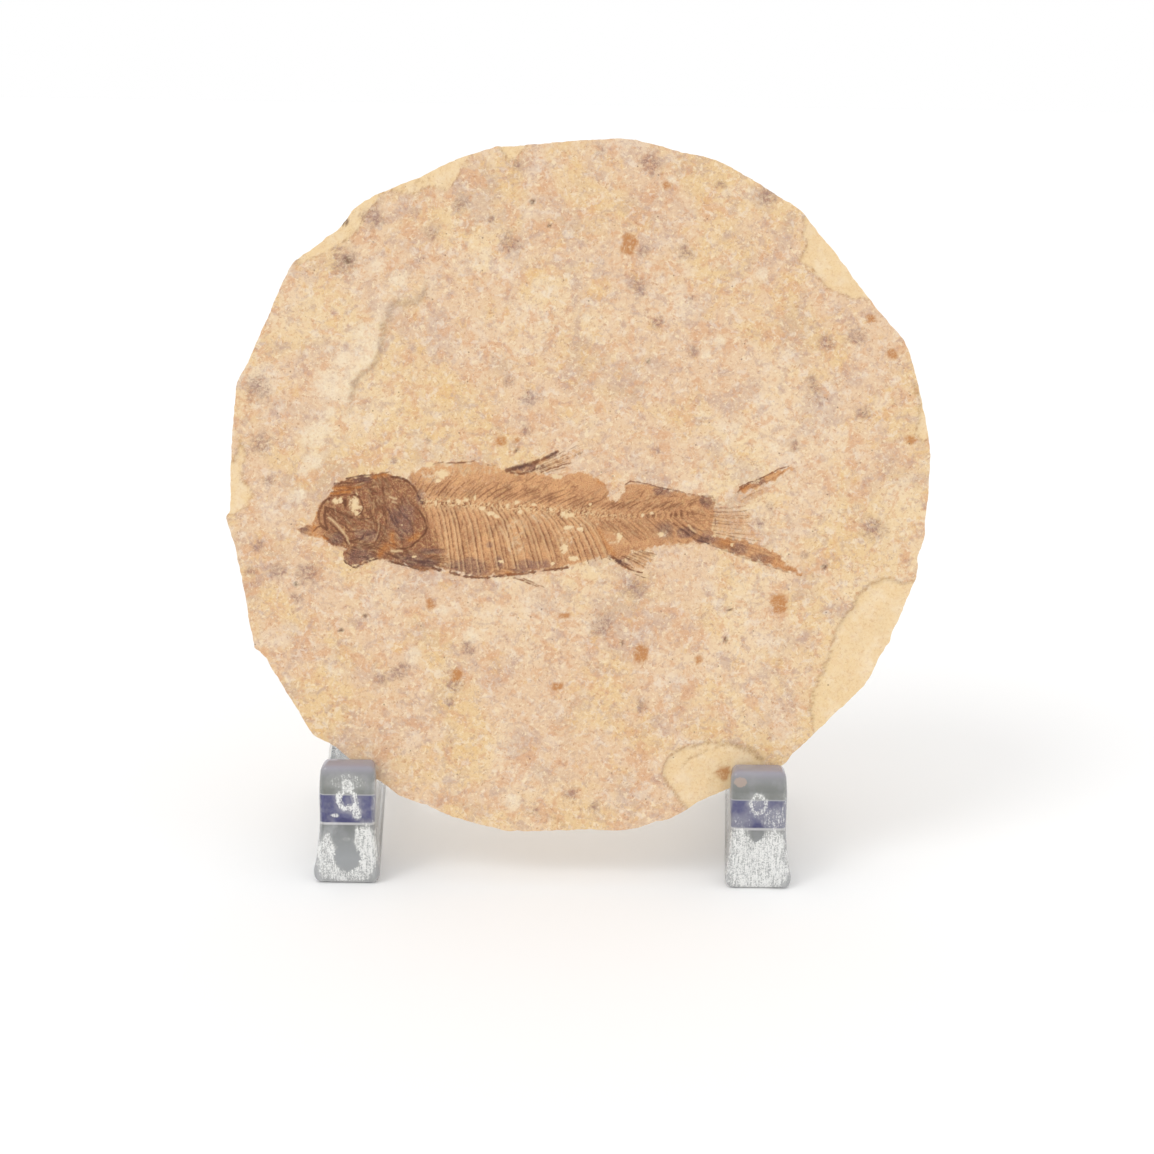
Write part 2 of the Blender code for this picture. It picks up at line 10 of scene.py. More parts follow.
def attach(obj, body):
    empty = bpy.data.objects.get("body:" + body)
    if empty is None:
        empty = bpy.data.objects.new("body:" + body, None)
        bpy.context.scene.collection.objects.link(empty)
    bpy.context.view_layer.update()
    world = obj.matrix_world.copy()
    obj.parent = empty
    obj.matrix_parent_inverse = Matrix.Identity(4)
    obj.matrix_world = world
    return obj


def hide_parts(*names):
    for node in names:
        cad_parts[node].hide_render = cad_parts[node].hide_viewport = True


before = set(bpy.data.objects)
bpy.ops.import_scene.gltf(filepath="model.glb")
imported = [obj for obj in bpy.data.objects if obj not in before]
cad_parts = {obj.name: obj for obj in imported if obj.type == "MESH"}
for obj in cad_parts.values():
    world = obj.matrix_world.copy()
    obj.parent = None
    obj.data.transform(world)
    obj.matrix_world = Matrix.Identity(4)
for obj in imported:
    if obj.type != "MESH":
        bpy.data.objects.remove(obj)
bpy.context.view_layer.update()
print("frame in place:", sorted(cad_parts))

mm = 0.001

# How the slab leans in its feet: degrees, and the middle of its face in millimetres
stance = {"lean": 15.0, "roll": 0.77, "faceCentre": (0.048, -6.5, 77.9)}

lean = math.radians(stance["lean"])
turnToFace = (Matrix.Rotation(math.pi / 2 - lean, 4, "X")
              @ Matrix.Rotation(math.radians(stance["roll"]), 4, "Z"))
faceToWorld = (Matrix.Translation(Vector(stance["faceCentre"]) * mm)
               @ turnToFace @ Matrix.Scale(mm, 4))


# Small helpers for points on the slab's face, which are (u, v) in millimetres

def ease(values, low, high):  # 0 below low, 1 above high, smooth between
    share = np.clip((values - low) / (high - low), 0, 1)
    return share * share * (3 - 2 * share)


def fall(values, low, high):  # the other way: 1 below low, 0 above high
    return 1 - ease(values, low, high)


def ridge(distance, half):  # 1 on a line, and softly less beside it
    return np.exp(-(distance / half) ** 2)


def clouds(points, size, seed, octaves=3, rough=0.8):  # soft noise, about -1 to 1
    return np.array([
        noise.fractal((u / size + seed, v / size - seed, seed * 0.37), rough, 2, octaves)
        for u, v in points])


def tremor(points, size, seedU, seedV, octaves=3):  # small moves that fray an outline
    return np.stack([clouds(points, size, seed, octaves) for seed in (seedU, seedV)], axis=1)


def lineDistance(points, line):  # how far off a line, how far along it (0 to 1), on which side
    line = np.array(line, float)
    lengths = np.hypot(*(line[1:] - line[:-1]).T)
    total = max(lengths.sum(), 1e-6)
    nearest = np.full(len(points), 1e9)
    along, side = np.zeros(len(points)), np.zeros(len(points))
    before = 0
    for start, end, length in zip(line[:-1], line[1:], lengths):
        way = end - start
        share = np.clip(((points - start) @ way) / max(length * length, 1e-9), 0, 1)
        off = points - start - share[:, None] * way
        distance = np.hypot(*off.T)
        closer = distance < nearest
        nearest[closer] = distance[closer]
        along[closer] = ((before + share * length) / total)[closer]
        side[closer] = (off[:, 1] * way[0] - off[:, 0] * way[1])[closer]  # positive to its left
        before += length
    return nearest, along, side


def edgeDistance(points, outline):  # distance to an outline, negative inside it
    closed = list(outline) + [outline[0]]
    nearest = lineDistance(points, closed)[0]
    inside = np.zeros(len(points), bool)
    for (u0, v0), (u1, v1) in zip(closed[:-1], closed[1:]):
        if v0 != v1:
            crosses = (v0 > points[:, 1]) != (v1 > points[:, 1])
            at = (u1 - u0) * (points[:, 1] - v0) / (v1 - v0) + u0
            inside ^= crosses & (points[:, 0] < at)
    return np.where(inside, -nearest, nearest)


def ovals(points, areas, wobble, full=0.55, end=1.35):  # soft (u, v, half width, half height)
    strength = np.zeros(len(points))
    for u, v, wide, tall in areas:
        distance = np.hypot((points[:, 0] - u) / wide, (points[:, 1] - v) / tall)
        strength = np.maximum(strength, fall(distance + wobble * 0.5, full, end))
    return strength


def blobs(points, spots, wobble, softness=0.35):  # soft round marks (u, v, radius)
    areas = [(u, v, radius, radius) for u, v, radius in spots]
    return ovals(points, areas, wobble * 0.9, 1 - softness, 1 + softness)


def setAttributes(mesh, values):  # one float attribute for each name
    for name, numbers in values.items():
        layer = mesh.attributes.new(name, "FLOAT", "POINT")
        layer.data.foreach_set("value", np.asarray(numbers, np.float32))


def coordinates(mesh):
    flat = np.zeros(len(mesh.vertices) * 3)
    mesh.vertices.foreach_get("co", flat)
    return flat.reshape(-1, 3)


def extrudeRim(bm, edges):  # one more ring from an open edge: its edges and its vertices
    grown = bmesh.ops.extrude_edge_only(bm, edges=edges)["geom"]
    return ([item for item in grown if isinstance(item, bmesh.types.BMEdge) and item.is_boundary],
            [item for item in grown if isinstance(item, bmesh.types.BMVert)])


def addPiece(name, bm):  # the finished bmesh as an object at the origin
    mesh = bpy.data.meshes.new(name)
    bm.to_mesh(mesh)
    bm.free()
    piece = bpy.data.objects.new(name, mesh)
    bpy.context.scene.collection.objects.link(piece)
    return piece


lightLevel = 1.12  # how much light falls on the slab's face, where 1 shows a colour as it is


def toneOf(red, green, blue):  # a colour as seen in the finished picture, 0 to 255
    def linear(part):
        part = part / 255
        part = part / 12.92 if part <= 0.04045 else ((part + 0.055) / 1.055) ** 2.4
        return min(part / lightLevel, 0.95)
    return (linear(red), linear(green), linear(blue), 1)


# The slab of limestone

slabLook = {
    "cells": 268,              # across the front face's grid
    "backCells": 84,
    "radius": 70,              # about, for the noise and the level margin of the back
    "thickness": 8,
    # shares of the thickness at which the rim has a ring
    "rings": (0.05, 0.12, 0.2, 0.3, 0.42, 0.55, 0.68, 0.8, 0.9, 0.97, 1),
    "rimInset": 1.5,           # how far the back edge lies inside the front one
    "rimRagged": 0.55,
    "rimBreaks": 0.14,
    "backScale": 1 - 2.6 / 69,  # the back's sheet ends a little inside the rim's last ring
    "backRough": (0.3, 0.1),
    "swell": 0.16,             # slow rise and fall of the split face
    "grain": 0.035,
    "flakeDepth": 0.5,
    "flakeRagged": 0.55,
    "pocketDepth": 1,          # under the fish
    "scarHeight": 0.42,
    "scarRagged": 0.5,
}

slabOutline = [
    (-69.7, 0), (-69.6, 5), (-69.3, 10), (-68.7, 16.5), (-68.6, 19.5), (-68.3, 20.6),
    (-66, 25), (-64, 29.5), (-61.6, 35), (-59.6, 39.8), (-58.6, 42), (-57.5, 44.2),
    (-56.8, 45), (-55, 46.4), (-52.5, 48), (-50.5, 49.8), (-48.5, 51), (-47.5, 52),
    (-46, 54), (-45, 55.4), (-43, 57), (-41, 58.1), (-39.5, 58.7), (-36, 60.2),
    (-32, 61.7), (-28.5, 63.5), (-25, 65.2), (-22, 66.2), (-20, 66.8), (-16.5, 67.8),
    (-13, 68), (-9, 68.3), (-5, 68.6), (0, 69), (5, 69.2), (8.5, 69.5),
    (11, 69.2), (15, 68.3), (18, 67.5), (20.5, 66.7), (25, 65.9), (27.5, 65.2),
    (30, 64), (35, 61.1), (40, 57.9), (42.5, 56.5), (44, 55.4), (45.5, 54),
    (48.5, 50.2), (52.5, 45.3), (56, 40.3), (60, 35), (63, 31.5), (65, 29.4),
    (65.9, 27.5), (67.4, 22.5), (69, 16), (69.8, 12), (70.1, 10.5), (70.4, 6),
    (70.2, 2), (70, -2), (69.7, -4), (69.4, -7), (69.3, -10), (68.9, -11.5),
    (67.8, -14.5), (67.9, -16.5), (67.4, -19), (67, -20), (65.5, -23.5), (64.5, -26),
    (63, -29), (62.4, -31.2), (60.2, -34.5), (58.5, -38), (57.3, -40), (54.5, -42.8),
    (51, -46), (46.5, -50.3), (43, -53.5), (41.2, -55.8), (36, -58.5), (30, -60.7),
    (27, -62), (23.5, -63.6), (21.5, -65), (18.5, -66.6), (15, -67.4), (11.5, -68.6),
    (9, -69), (5, -69), (2, -68.75), (-5, -69), (-12, -69.2), (-15, -69.1),
    (-17, -68.5), (-20.5, -67.6), (-25, -66.3), (-30, -64.1), (-35, -62.4),
    (-36.5, -61.7), (-38, -60.4), (-40, -58.9), (-48.6, -52.3), (-50, -51.5),
    (-53, -50), (-54, -48.8), (-55.5, -46), (-58, -42), (-60.5, -38),
    (-62.5, -34.5), (-63.8, -33.2), (-64.8, -32.5), (-65, -31), (-65.8, -27.5),
    (-66.5, -23), (-67.5, -18), (-68.6, -12.5), (-69.5, -10), (-70.1, -7.8),
    (-70.5, -6.3), (-69.8, -5),
]

# Flakes lost from the face's edge, each running out past the rim
flakes = [
    [(-56, 44), (-54, 45.2), (-50.5, 47), (-46, 49.5), (-44, 51), (-42, 55),
     (-39.5, 58), (-38, 63), (-58, 52)],
    [(-39.5, 58.5), (-33, 58.5), (-30, 60), (-27, 58.8), (-24.5, 60.8), (-24, 63),
     (-22, 65.6), (-20.5, 70), (-40, 64)],
    [(-16, 70), (-15.5, 67), (-14, 65), (-12.5, 65), (-10.6, 67.8), (-10, 70)],
    [(46.5, 56), (45, 53.5), (45.5, 48), (44, 45.5), (46, 43.7), (48.5, 41),
     (50, 39.5), (52, 38.2), (54, 37.7), (60, 37.3), (60, 44)],
    [(70, -18.3), (65, -19.5), (61.5, -18.5), (58, -19.8), (56, -22), (54.5, -24.5),
     (52.5, -27), (51, -31), (49.5, -36), (47.5, -40), (46.5, -43), (46.3, -45),
     (47, -49), (48, -53), (62, -44), (72, -20)],
    [(23, -67), (21, -64), (20, -62), (18, -60), (16.5, -57.5), (18, -54),
     (20, -52.8), (25, -51.2), (30, -51.5), (34, -52.5), (37, -54.5), (39, -60),
     (34, -66)],
    [(-72, 6), (-69, 5), (-67.5, 9), (-66.5, 6.5), (-67.3, 1.5), (-65.2, -1),
     (-66, -4), (-69.6, -6), (-72, -6)],
    [(71, 10.5), (69, 8.5), (67.5, 10), (68.4, 16.5), (66.8, 20.5), (70, 19)],
]
innerCracks = [
    [(20.6, -55.8), (25, -53.2), (28, -52.1), (31, -51.9), (35, -53.6), (37, -55.4)],
    [(-33, 58.6), (-32.2, 60.8), (-30, 61.4), (-30.2, 59.4)],
    [(-10, -65.5), (-5, -66), (-3, -68)],
]
scarLine = [
    (-30.8, 40.4), (-31.3, 38.3), (-33, 37), (-35, 36.7), (-37.3, 37.1), (-38.5, 34),
    (-39.5, 30), (-40, 27), (-41, 25), (-44, 22), (-45.5, 20), (-46, 16),
    (-47.5, 12.5),
]
palePatches = [
    (28, 29, 1), (25.5, 26.5, 1), (17, 29.8, 0.6), (1.5, 33.3, 0.8), (36.7, 42.5, 1.2),
    (39, 7.5, 1), (-27, -25, 1), (-21.5, -30, 1.5), (-13, -63.5, 1.5), (-33, -34, 1.5),
    (26.5, -17, 0.8), (33, -17.8, 0.5), (18.7, 61.2, 0.8), (-51, 11.5, 1.6), (-53, 5, 1.8),
    (-55, 3, 1.2), (-50, 14.5, 1.2), (-47, 25, 1.5),
    (-43, 30, 2.6), (-50, 20, 3), (-53, 10, 2.6), (-36, 41, 1.8), (-40, 44, 1.6), (-56, -2, 1.6),
]
orangeSpots = [  # u, v, half width, half height
    (10, 48.2, 1.7, 2.1), (17.7, 60, 0.9, 0.8), (-15.4, 8.8, 1.1, 1), (-12.3, 9, 0.7, 0.5),
    (62.7, 26.2, 1.3, 1.1), (58.5, 33.5, 1, 0.8), (66.5, 9.2, 1.2, 0.9), (29, -57.5, 1.5, 1.4),
    (-29.5, -23.8, 0.9, 1.3), (-4.2, -40.3, 1.2, 0.9), (-24.5, -38, 1.4, 1.2),
    (40, -23.5, 1.8, 2.2),
    (12.5, -33.5, 1.5, 2.2), (24, -34.8, 0.8, 0.9), (-3, -26, 1.4, 0.5),
]
mauveBlotches = [
    (-64, 19.5, 2.5), (-47, 45, 2.5), (-41, 53.5, 2), (-23.3, 56.3, 1.5), (-29.3, 50.5, 1.2),
    (-13.8, 48.5, 2), (-17.5, 53.5, 1), (-13.8, 20.8, 1), (-9.8, 17.3, 1.4), (-10.5, 11, 1),
    (-30, 9, 0.6), (-37, 4.8, 0.7), (13, 47, 1), (21.3, 46.8, 1.5), (12, 39.5, 1.8),
    (22.7, 37.5, 0.6), (16, 32.5, 1.2), (23, 27, 1), (49.5, 28.5, 1.5), (55.7, 29.8, 1.7),
    (46.6, 21.5, 0.9), (47.2, 19.6, 1), (48, 17.5, 1.2), (57, 14.5, 1.4), (43.3, 7.8, 1),
    (15.5, 7, 0.7), (14.5, 64.5, 2), (38, 58, 1.8), (28.5, 60, 1), (4.5, 67, 1),
    (-12.5, 64, 1), (38.3, -4.3, 0.8), (36, -7.8, 1), (59, -8.5, 2.2), (45, -14, 0.7),
    (11, -20.5, 2), (4.5, -28, 2.2), (-60, -17, 1.5), (-54, -17.5, 2), (-56.5, -22.5, 1),
    (-65.5, -17, 1), (-64, -12, 1.2), (-22, -32.5, 1.3), (-35.5, -37, 1.6), (-39.5, -39, 1.4),
    (-26, -43.5, 1), (-25, -40, 1.5), (12.8, -44, 1.2), (-1.5, -61.5, 1.2), (-8.7, -64.8, 0.7),
    (3, -64.3, 1), (-63.5, 8.5, 2), (-62, 1, 1),
]
darkTicks = [
    (-56.5, -19.7, 0.5), (30.3, -24.8, 0.4), (14, 24.8, 0.4), (8.7, -31.5, 0.4),
    (-47.5, -29, 0.4), (-46.2, 45, 0.7), (-9.2, 56.8, 0.5), (-5.9, 52, 0.4), (29.3, -30.8, 0.5),
    (49.3, -16.3, 0.5), (-42.6, -26, 0.4), (-46.8, 53, 0.7), (-12.4, 7.1, 0.4),
]

rimAngles = np.array([math.atan2(v, u) for u, v in slabOutline])
rimRadii = np.array([math.hypot(u, v) for u, v in slabOutline])


def rimRadius(angles):  # the outline's distance from the middle, with small breaks
    points = np.stack([np.cos(angles), np.sin(angles)], axis=1) * slabLook["radius"]
    breaks = slabLook["rimBreaks"] * (clouds(points, 1.6, 3.1) - 0.5)
    return np.interp(angles, rimAngles, rimRadii, period=2 * math.pi) + breaks


def toDisc(square):  # a square grid from -1 to 1 laid over the slab's outline
    x, y = square.T
    wide = np.abs(x) >= np.abs(y)
    across, other = np.where(wide, x, y), np.where(wide, y, x)
    turn = math.pi / 4 * other / np.where(np.abs(across) < 1e-9, 1, across)
    angle = np.where(wide, turn, math.pi / 2 - turn) + np.where(across < 0, math.pi, 0)
    reach = rimRadius(angle) * np.abs(across)
    return np.stack([np.cos(angle) * reach, np.sin(angle) * reach], axis=1)


def flakeMasks(points):  # inside a flake scar, and on the crack that borders it
    shifted = points + tremor(points, 2.2, 5.3, 9.7) * slabLook["flakeRagged"]
    nearest = np.min([edgeDistance(shifted, outline) for outline in flakes], axis=0)
    crack = 0.85 * ridge(nearest, 0.22)
    for line in innerCracks:
        crack = np.maximum(crack, 0.8 * ridge(lineDistance(shifted, line)[0], 0.28))
    return fall(nearest, -0.35, 0.05), crack


def scarProfile(points):  # height, pale band and shade of the scar: the pale band is whitish scraped stone and partly a painted highlight on its lit side, the shade is painted shade on its steep side
    shifted = points + tremor(points, 1.8, 2.3, 7.9) * slabLook["scarRagged"]
    distance, along, side = lineDistance(shifted, scarLine)
    signed = -distance * np.sign(side)    # positive on the outer side, which stands higher
    fade = ease(along, -0.02, 0.04) * fall(along, 0.8, 1)
    rise = ease(signed, -0.45, 0.15) * fall(signed, 0.4, 4)
    pale = ease(signed, -0.2, 0.3) * fall(signed, 0.8, 4.2) * fade * ease(along, 0, 0.5)
    return rise * fade, pale, ridge(signed + 0.5, 0.55) * fade


def frontHeight(points, flakeInside, scarRise):
    look = slabLook
    height = look["swell"] * clouds(points, 26, 1.7, 2)
    height += look["grain"] * clouds(points, 1.7, 4.4, 4, 0.5)
    height -= look["flakeDepth"] * flakeInside * (1 + 0.4 * clouds(points, 4, 6.1))
    return height + look["scarHeight"] * scarRise


def makeSlab():
    look = slabLook
    bm = bmesh.new()
    bmesh.ops.create_grid(bm, x_segments=look["cells"], y_segments=look["cells"], size=1)
    laid = toDisc(np.array([vert.co.xy for vert in bm.verts]))
    heights = frontHeight(laid, flakeMasks(laid)[0], scarProfile(laid)[0])
    heights -= look["pocketDepth"] * fall(edgeDistance(laid, fishOutline), -1.5, -0.7)
    for vert, (u, v), height in zip(bm.verts, laid, heights):
        vert.co = (u, v, height)

    # The rim goes back in rings that break in and out like thin beds of stone
    edges = [edge for edge in bm.edges if edge.is_boundary]
    ringBefore = {vert: (math.atan2(vert.co.y, vert.co.x), vert.co.xy.length, vert.co.z)
                  for edge in edges for vert in edge.verts}
    for ring, share in enumerate(look["rings"]):
        edges, verts = extrudeRim(bm, edges)
        bedSeed = ring // 2 * 3.7
        ringNow = {}
        for vert in verts:
            near = [edge.other_vert(vert) for edge in vert.link_edges]
            angle, radius, top = next(ringBefore[other] for other in near if other in ringBefore)
            ringNow[vert] = (angle, radius, top)
            x, y = math.cos(angle), math.sin(angle)
            bed = abs(noise.fractal((x * 13 + bedSeed, y * 13, bedSeed), 0.8, 2, 3)) * 1.6
            bed += noise.fractal((x * 48, y * 48, ring * 0.8), 0.6, 2, 3) * 0.35
            inset = look["rimInset"] * share ** 1.3 + 0.06
            inset += bed * look["rimRagged"] * min(1, share * 6)
            reach = radius - max(inset, 0.03)
            vert.co = (x * reach, y * reach, top * (1 - share) - look["thickness"] * share)
        ringBefore = ringNow

    # The back is a coarser sheet, bridged to the last ring
    back = bmesh.ops.create_grid(bm, x_segments=look["backCells"], y_segments=look["backCells"],
                                 size=1)["verts"]
    laid = toDisc(np.array([vert.co.xy for vert in back])) * look["backScale"]
    broad, fine = look["backRough"]
    rough = broad * clouds(laid, 9, 8.8, 4, 0.6) + fine * clouds(laid, 2.4, 3.3)
    rough *= ease(look["radius"] - np.hypot(*laid.T), 1, 6)    # level next to the rim
    for vert, (u, v), bump in zip(back, laid, np.clip(rough, -0.15, 0.5)):
        vert.co = (u, v, bump - look["thickness"])
    bmesh.ops.reverse_faces(bm, faces=list({face for vert in back for face in vert.link_faces}))
    bmesh.ops.bridge_loops(bm, edges=[edge for edge in bm.edges if edge.is_boundary])
    bmesh.ops.recalc_face_normals(bm, faces=bm.faces)
    slab = addPiece("limestone_slab_stone", bm)
    paintSlab(slab.data)
    slab.data.transform(faceToWorld)
    slab.data.shade_smooth()
    slab.data.set_sharp_from_angle(angle=math.radians(50))
    return slab


def paintSlab(mesh):  # where each mark on the stone lies
    places = coordinates(mesh)
    points = places[:, :2]
    front = ease(places[:, 2], -1.6, -0.8)
    wobble = clouds(points, 1.3, 11)
    inside, crack = flakeMasks(points)
    _, pale, shade = scarProfile(points)
    marks = {
        # the scar's pale band is partly a painted highlight, and its shade is painted shade
        "flake": inside, "crack": crack, "scarPaleLit": pale, "scarShade": shade,
        "pale": blobs(points, palePatches, wobble),
        "orange": ovals(points, orangeSpots, wobble * 0.7, 0.75, 1.2),
        "mauve": blobs(points, mauveBlotches, wobble * 1.6, 0.6),
        "tick": blobs(points, darkTicks, wobble),
    }
    setAttributes(mesh, {"front": front} | {name: mark * front for name, mark in marks.items()})


# The fish

fishLook = {
    "cell": 0.17,         # of its grid, in millimetres
    "low": (-58.4, -22), "high": (48, 9.8),
    "ragged": 0.28,
    "margin": 0.9,        # how far the grid runs under the stone round the fish
    "under": -0.75,       # the height of its hidden back
    "lift": 0.05, "filmHeight": 0.07, "boneHeight": 0.2,
    "edgeSink": 0.5,      # how far the margin dips below the stone
    "seed": 41,
    "vertebrae": 55.4 / 1.12,    # the backbone's length over one ring's
    "scutes": 24,
    "ribs": (-32, 1.6),          # where each row of bones starts and ends
    "upperSpines": (-33.4, 22), "lowerSpines": (3.6, 23),
    "throatEnd": (-28.4, -12.6),  # ribs before it end at this height, above the throat
    "darkStrands": 0.78,         # the share of strands that are dark
}

fishOutline = [
    (-56.6, -8.5), (-55, -8.4), (-53.8, -7.3), (-52.9, -7.1), (-52.5, -5.2), (-52.2, -3.5),
    (-51, -2.6), (-50, -2.1), (-49.6, -0.9), (-48.9, 0.5), (-46, 1.7), (-43, 2.4),
    (-40, 2.8), (-37.7, 2.8), (-36.6, 2), (-35, 2), (-33.5, 3.2), (-30.5, 4.9),
    (-26, 5.3), (-21.5, 5.4), (-19, 6), (-17.3, 5.5), (-16.3, 4.2), (-14.5, 3.8),
    (-11, 4.7), (-7, 5.9), (-5.3, 7.2), (-3, 7), (-0.6, 8.2), (3, 7.6),
    (1.4, 5.8), (0, 4.9), (-2.8, 3.9), (-1.6, 3.2), (0.4, 3.1), (2.6, 2.4),
    (4.5, 1.4), (6.4, 1.2), (6.1, -0.6), (6.2, -2.8), (7.8, -2.9), (8.4, -1.9),
    (8.1, -0.3), (9.3, 0.2), (10.2, 1), (13, 0.6), (16, -0.2), (19.5, -0.9),
    (23, -1.9), (26.8, -1.9), (27.4, -3.4), (28.7, -3.8), (29.6, -4.7), (31, -4.4),
    (31.7, -3.2), (33.1, -2.3), (32.9, -1.8), (31.8, -1.6), (32.3, -0.2), (35, 1),
    (38, 2.3), (40, 3.5), (42, 4), (44.4, 4.1), (42.2, 2.5), (40, 1.1),
    (38.2, -0.6), (37.6, -2.6), (35.4, -3.6), (35.6, -6), (35.9, -8.6), (37.3, -10.4),
    (39.2, -12.3), (41.5, -14.8), (44.2, -16.6), (46.5, -18.4), (43, -17.9), (38.5, -16.3),
    (34, -14.9), (30, -13.4), (27, -12.2), (23, -11.7), (19, -12), (15.8, -12.8),
    (15.6, -13.8), (14.2, -15.6), (13.8, -17), (14, -18.7), (11.5, -17.9), (8.5, -16.2),
    (5.4, -14.4), (2.6, -15.4), (-0.6, -16.3), (-4, -16.9), (-8.8, -17.3), (-9.2, -18.5),
    (-6.7, -20.5), (-9.4, -20.1), (-12, -18.8), (-16, -18.2), (-20, -18.7),
    (-24.5, -18), (-29, -16.9), (-31.4, -17.4), (-33.6, -16.4), (-36.5, -15.8),
    (-38.6, -15.2), (-41, -16.3), (-44.8, -16.6), (-47.2, -15.1), (-46.9, -13.1),
    (-49.7, -11.8), (-51.2, -10.8), (-54, -10.1), (-56.2, -9.6),
]

# Where skin or scales still cover the stone: strength, then the outline
filmAreas = [
    (1, [(-56.4, -8.6), (-55, -7.8), (-54.1, -7.35), (-53.6, -7.7), (-52.8, -7.2),
           (-52.4, -4.4), (-51.2, -2.9), (-50, -2.2), (-49.4, -0.7), (-48.6, 0.5),
           (-45.5, 1.6), (-42.5, 2.2), (-38.9, 2.7), (-37.6, 2.7), (-37, 1.9), (-34.2, 1.2),
           (-32.6, 0.2), (-31.6, -1.6), (-30.6, -3.6), (-29.8, -8), (-30, -12.6),
           (-28, -14.6), (-28.6, -16.8), (-30.6, -17.2), (-32, -17.3), (-33.6, -16.3),
           (-35.4, -15.9), (-38.4, -15.3), (-40.2, -14.5), (-41.8, -15.2), (-43.2, -15.8),
           (-45, -16.6), (-46.1, -16.2), (-47.2, -14.8), (-47.6, -13.3), (-46.4, -12.6),
           (-49.6, -11.7), (-51.2, -10.6), (-54.4, -10.05), (-56, -9.6)]),
    (0.85, [(-32, -1.6), (-27, -2), (-22, -1), (-17, 1), (-13, 2.4),
            (-10, 2.6), (-6, 2.2), (-2.6, 2.4), (0.2, 3), (2.8, 2.2), (5, 1.2),
            (6.1, 0.4), (6.1, -2.6), (8, -2.8), (8.5, -1.6), (9.6, 0.6), (13, 0.5),
            (19, -0.8), (25, -2.1), (26.9, -2), (27.3, -4.6), (27.4, -7),
            (27, -9.5), (26.6, -12), (23, -11.5), (18, -12.1), (15, -12.8),
            (11, -13.4), (8.6, -15.6), (6, -14.4), (3, -14.8), (0, -15.8),
            (-4, -16.7), (-10, -17.6), (-20, -18.4), (-27, -17), (-31, -15),
            (-31, -5)]),
    (0.72, [(-34.4, 1.8), (-33.4, 2.8), (-31, 3.9), (-28, 4.4), (-25, 4.7), (-20.4, 5),
            (-17, 4.2), (-14.5, 3.2), (-12, 1.6), (-15, -1), (-27, -3),
            (-32, -2)]),
    (0.95, [(-14.5, 3.1), (-12.9, 4), (-9.6, 4.6), (-7.4, 5.4), (-5.5, 6.3), (-4, 7.1),
            (-3.6, 6.6), (-5.6, 5.2), (-8, 4), (-8.9, 3), (-11.4, 2.1), (-14.2, 2.6)]),
    (0.35, [(-9, 3), (-6, 5), (-3, 6.8), (-0.6, 7.6), (1, 6.6), (-0.6, 5),
            (-3, 3.8), (-6, 2.4)]),
    (0.95, [(31.8, -1.5), (32.4, -0.3), (35, 0.9), (38, 2.2), (40, 3.3), (42.5, 3.9),
            (44.2, 4), (42, 2.8), (39.6, 1.2), (37.6, 0.2), (36, -0.6), (34, -1.2),
            (33, -1.2)]),
    (0.4, [(31.9, -3.2), (33, -2.3), (34.5, -1.2), (37.6, 0.4), (38, -1.6), (36.8, -2.9),
           (34.6, -3.4), (33, -3.6)]),
    (0.35, [(26.6, -4.4), (31, -4.6), (33.4, -5), (35, -6.4), (35.4, -9.4),
            (36.8, -11.2), (30, -10.4), (26.8, -9.4)]),
    (1, [(25.5, -9.6), (29.5, -10.4), (33.5, -11.2), (36.6, -11.8), (38.8, -12.8),
           (40.6, -14.4), (43, -16.4), (46.2, -18.4), (43, -17.8), (38.5, -16.2),
           (34, -14.8), (30, -13.3), (26.5, -12)]),
    (0.8, [(6.2, -13.6), (8.6, -14.6), (10.8, -16.2), (12.4, -17.2), (10.4, -17.2),
           (8.2, -16), (6.4, -14.9)]),
    (0.45, [(8.6, -14), (12, -12.9), (15.6, -13.2), (14.4, -15.6), (12.6, -17.2),
            (10.6, -16.4)]),
]

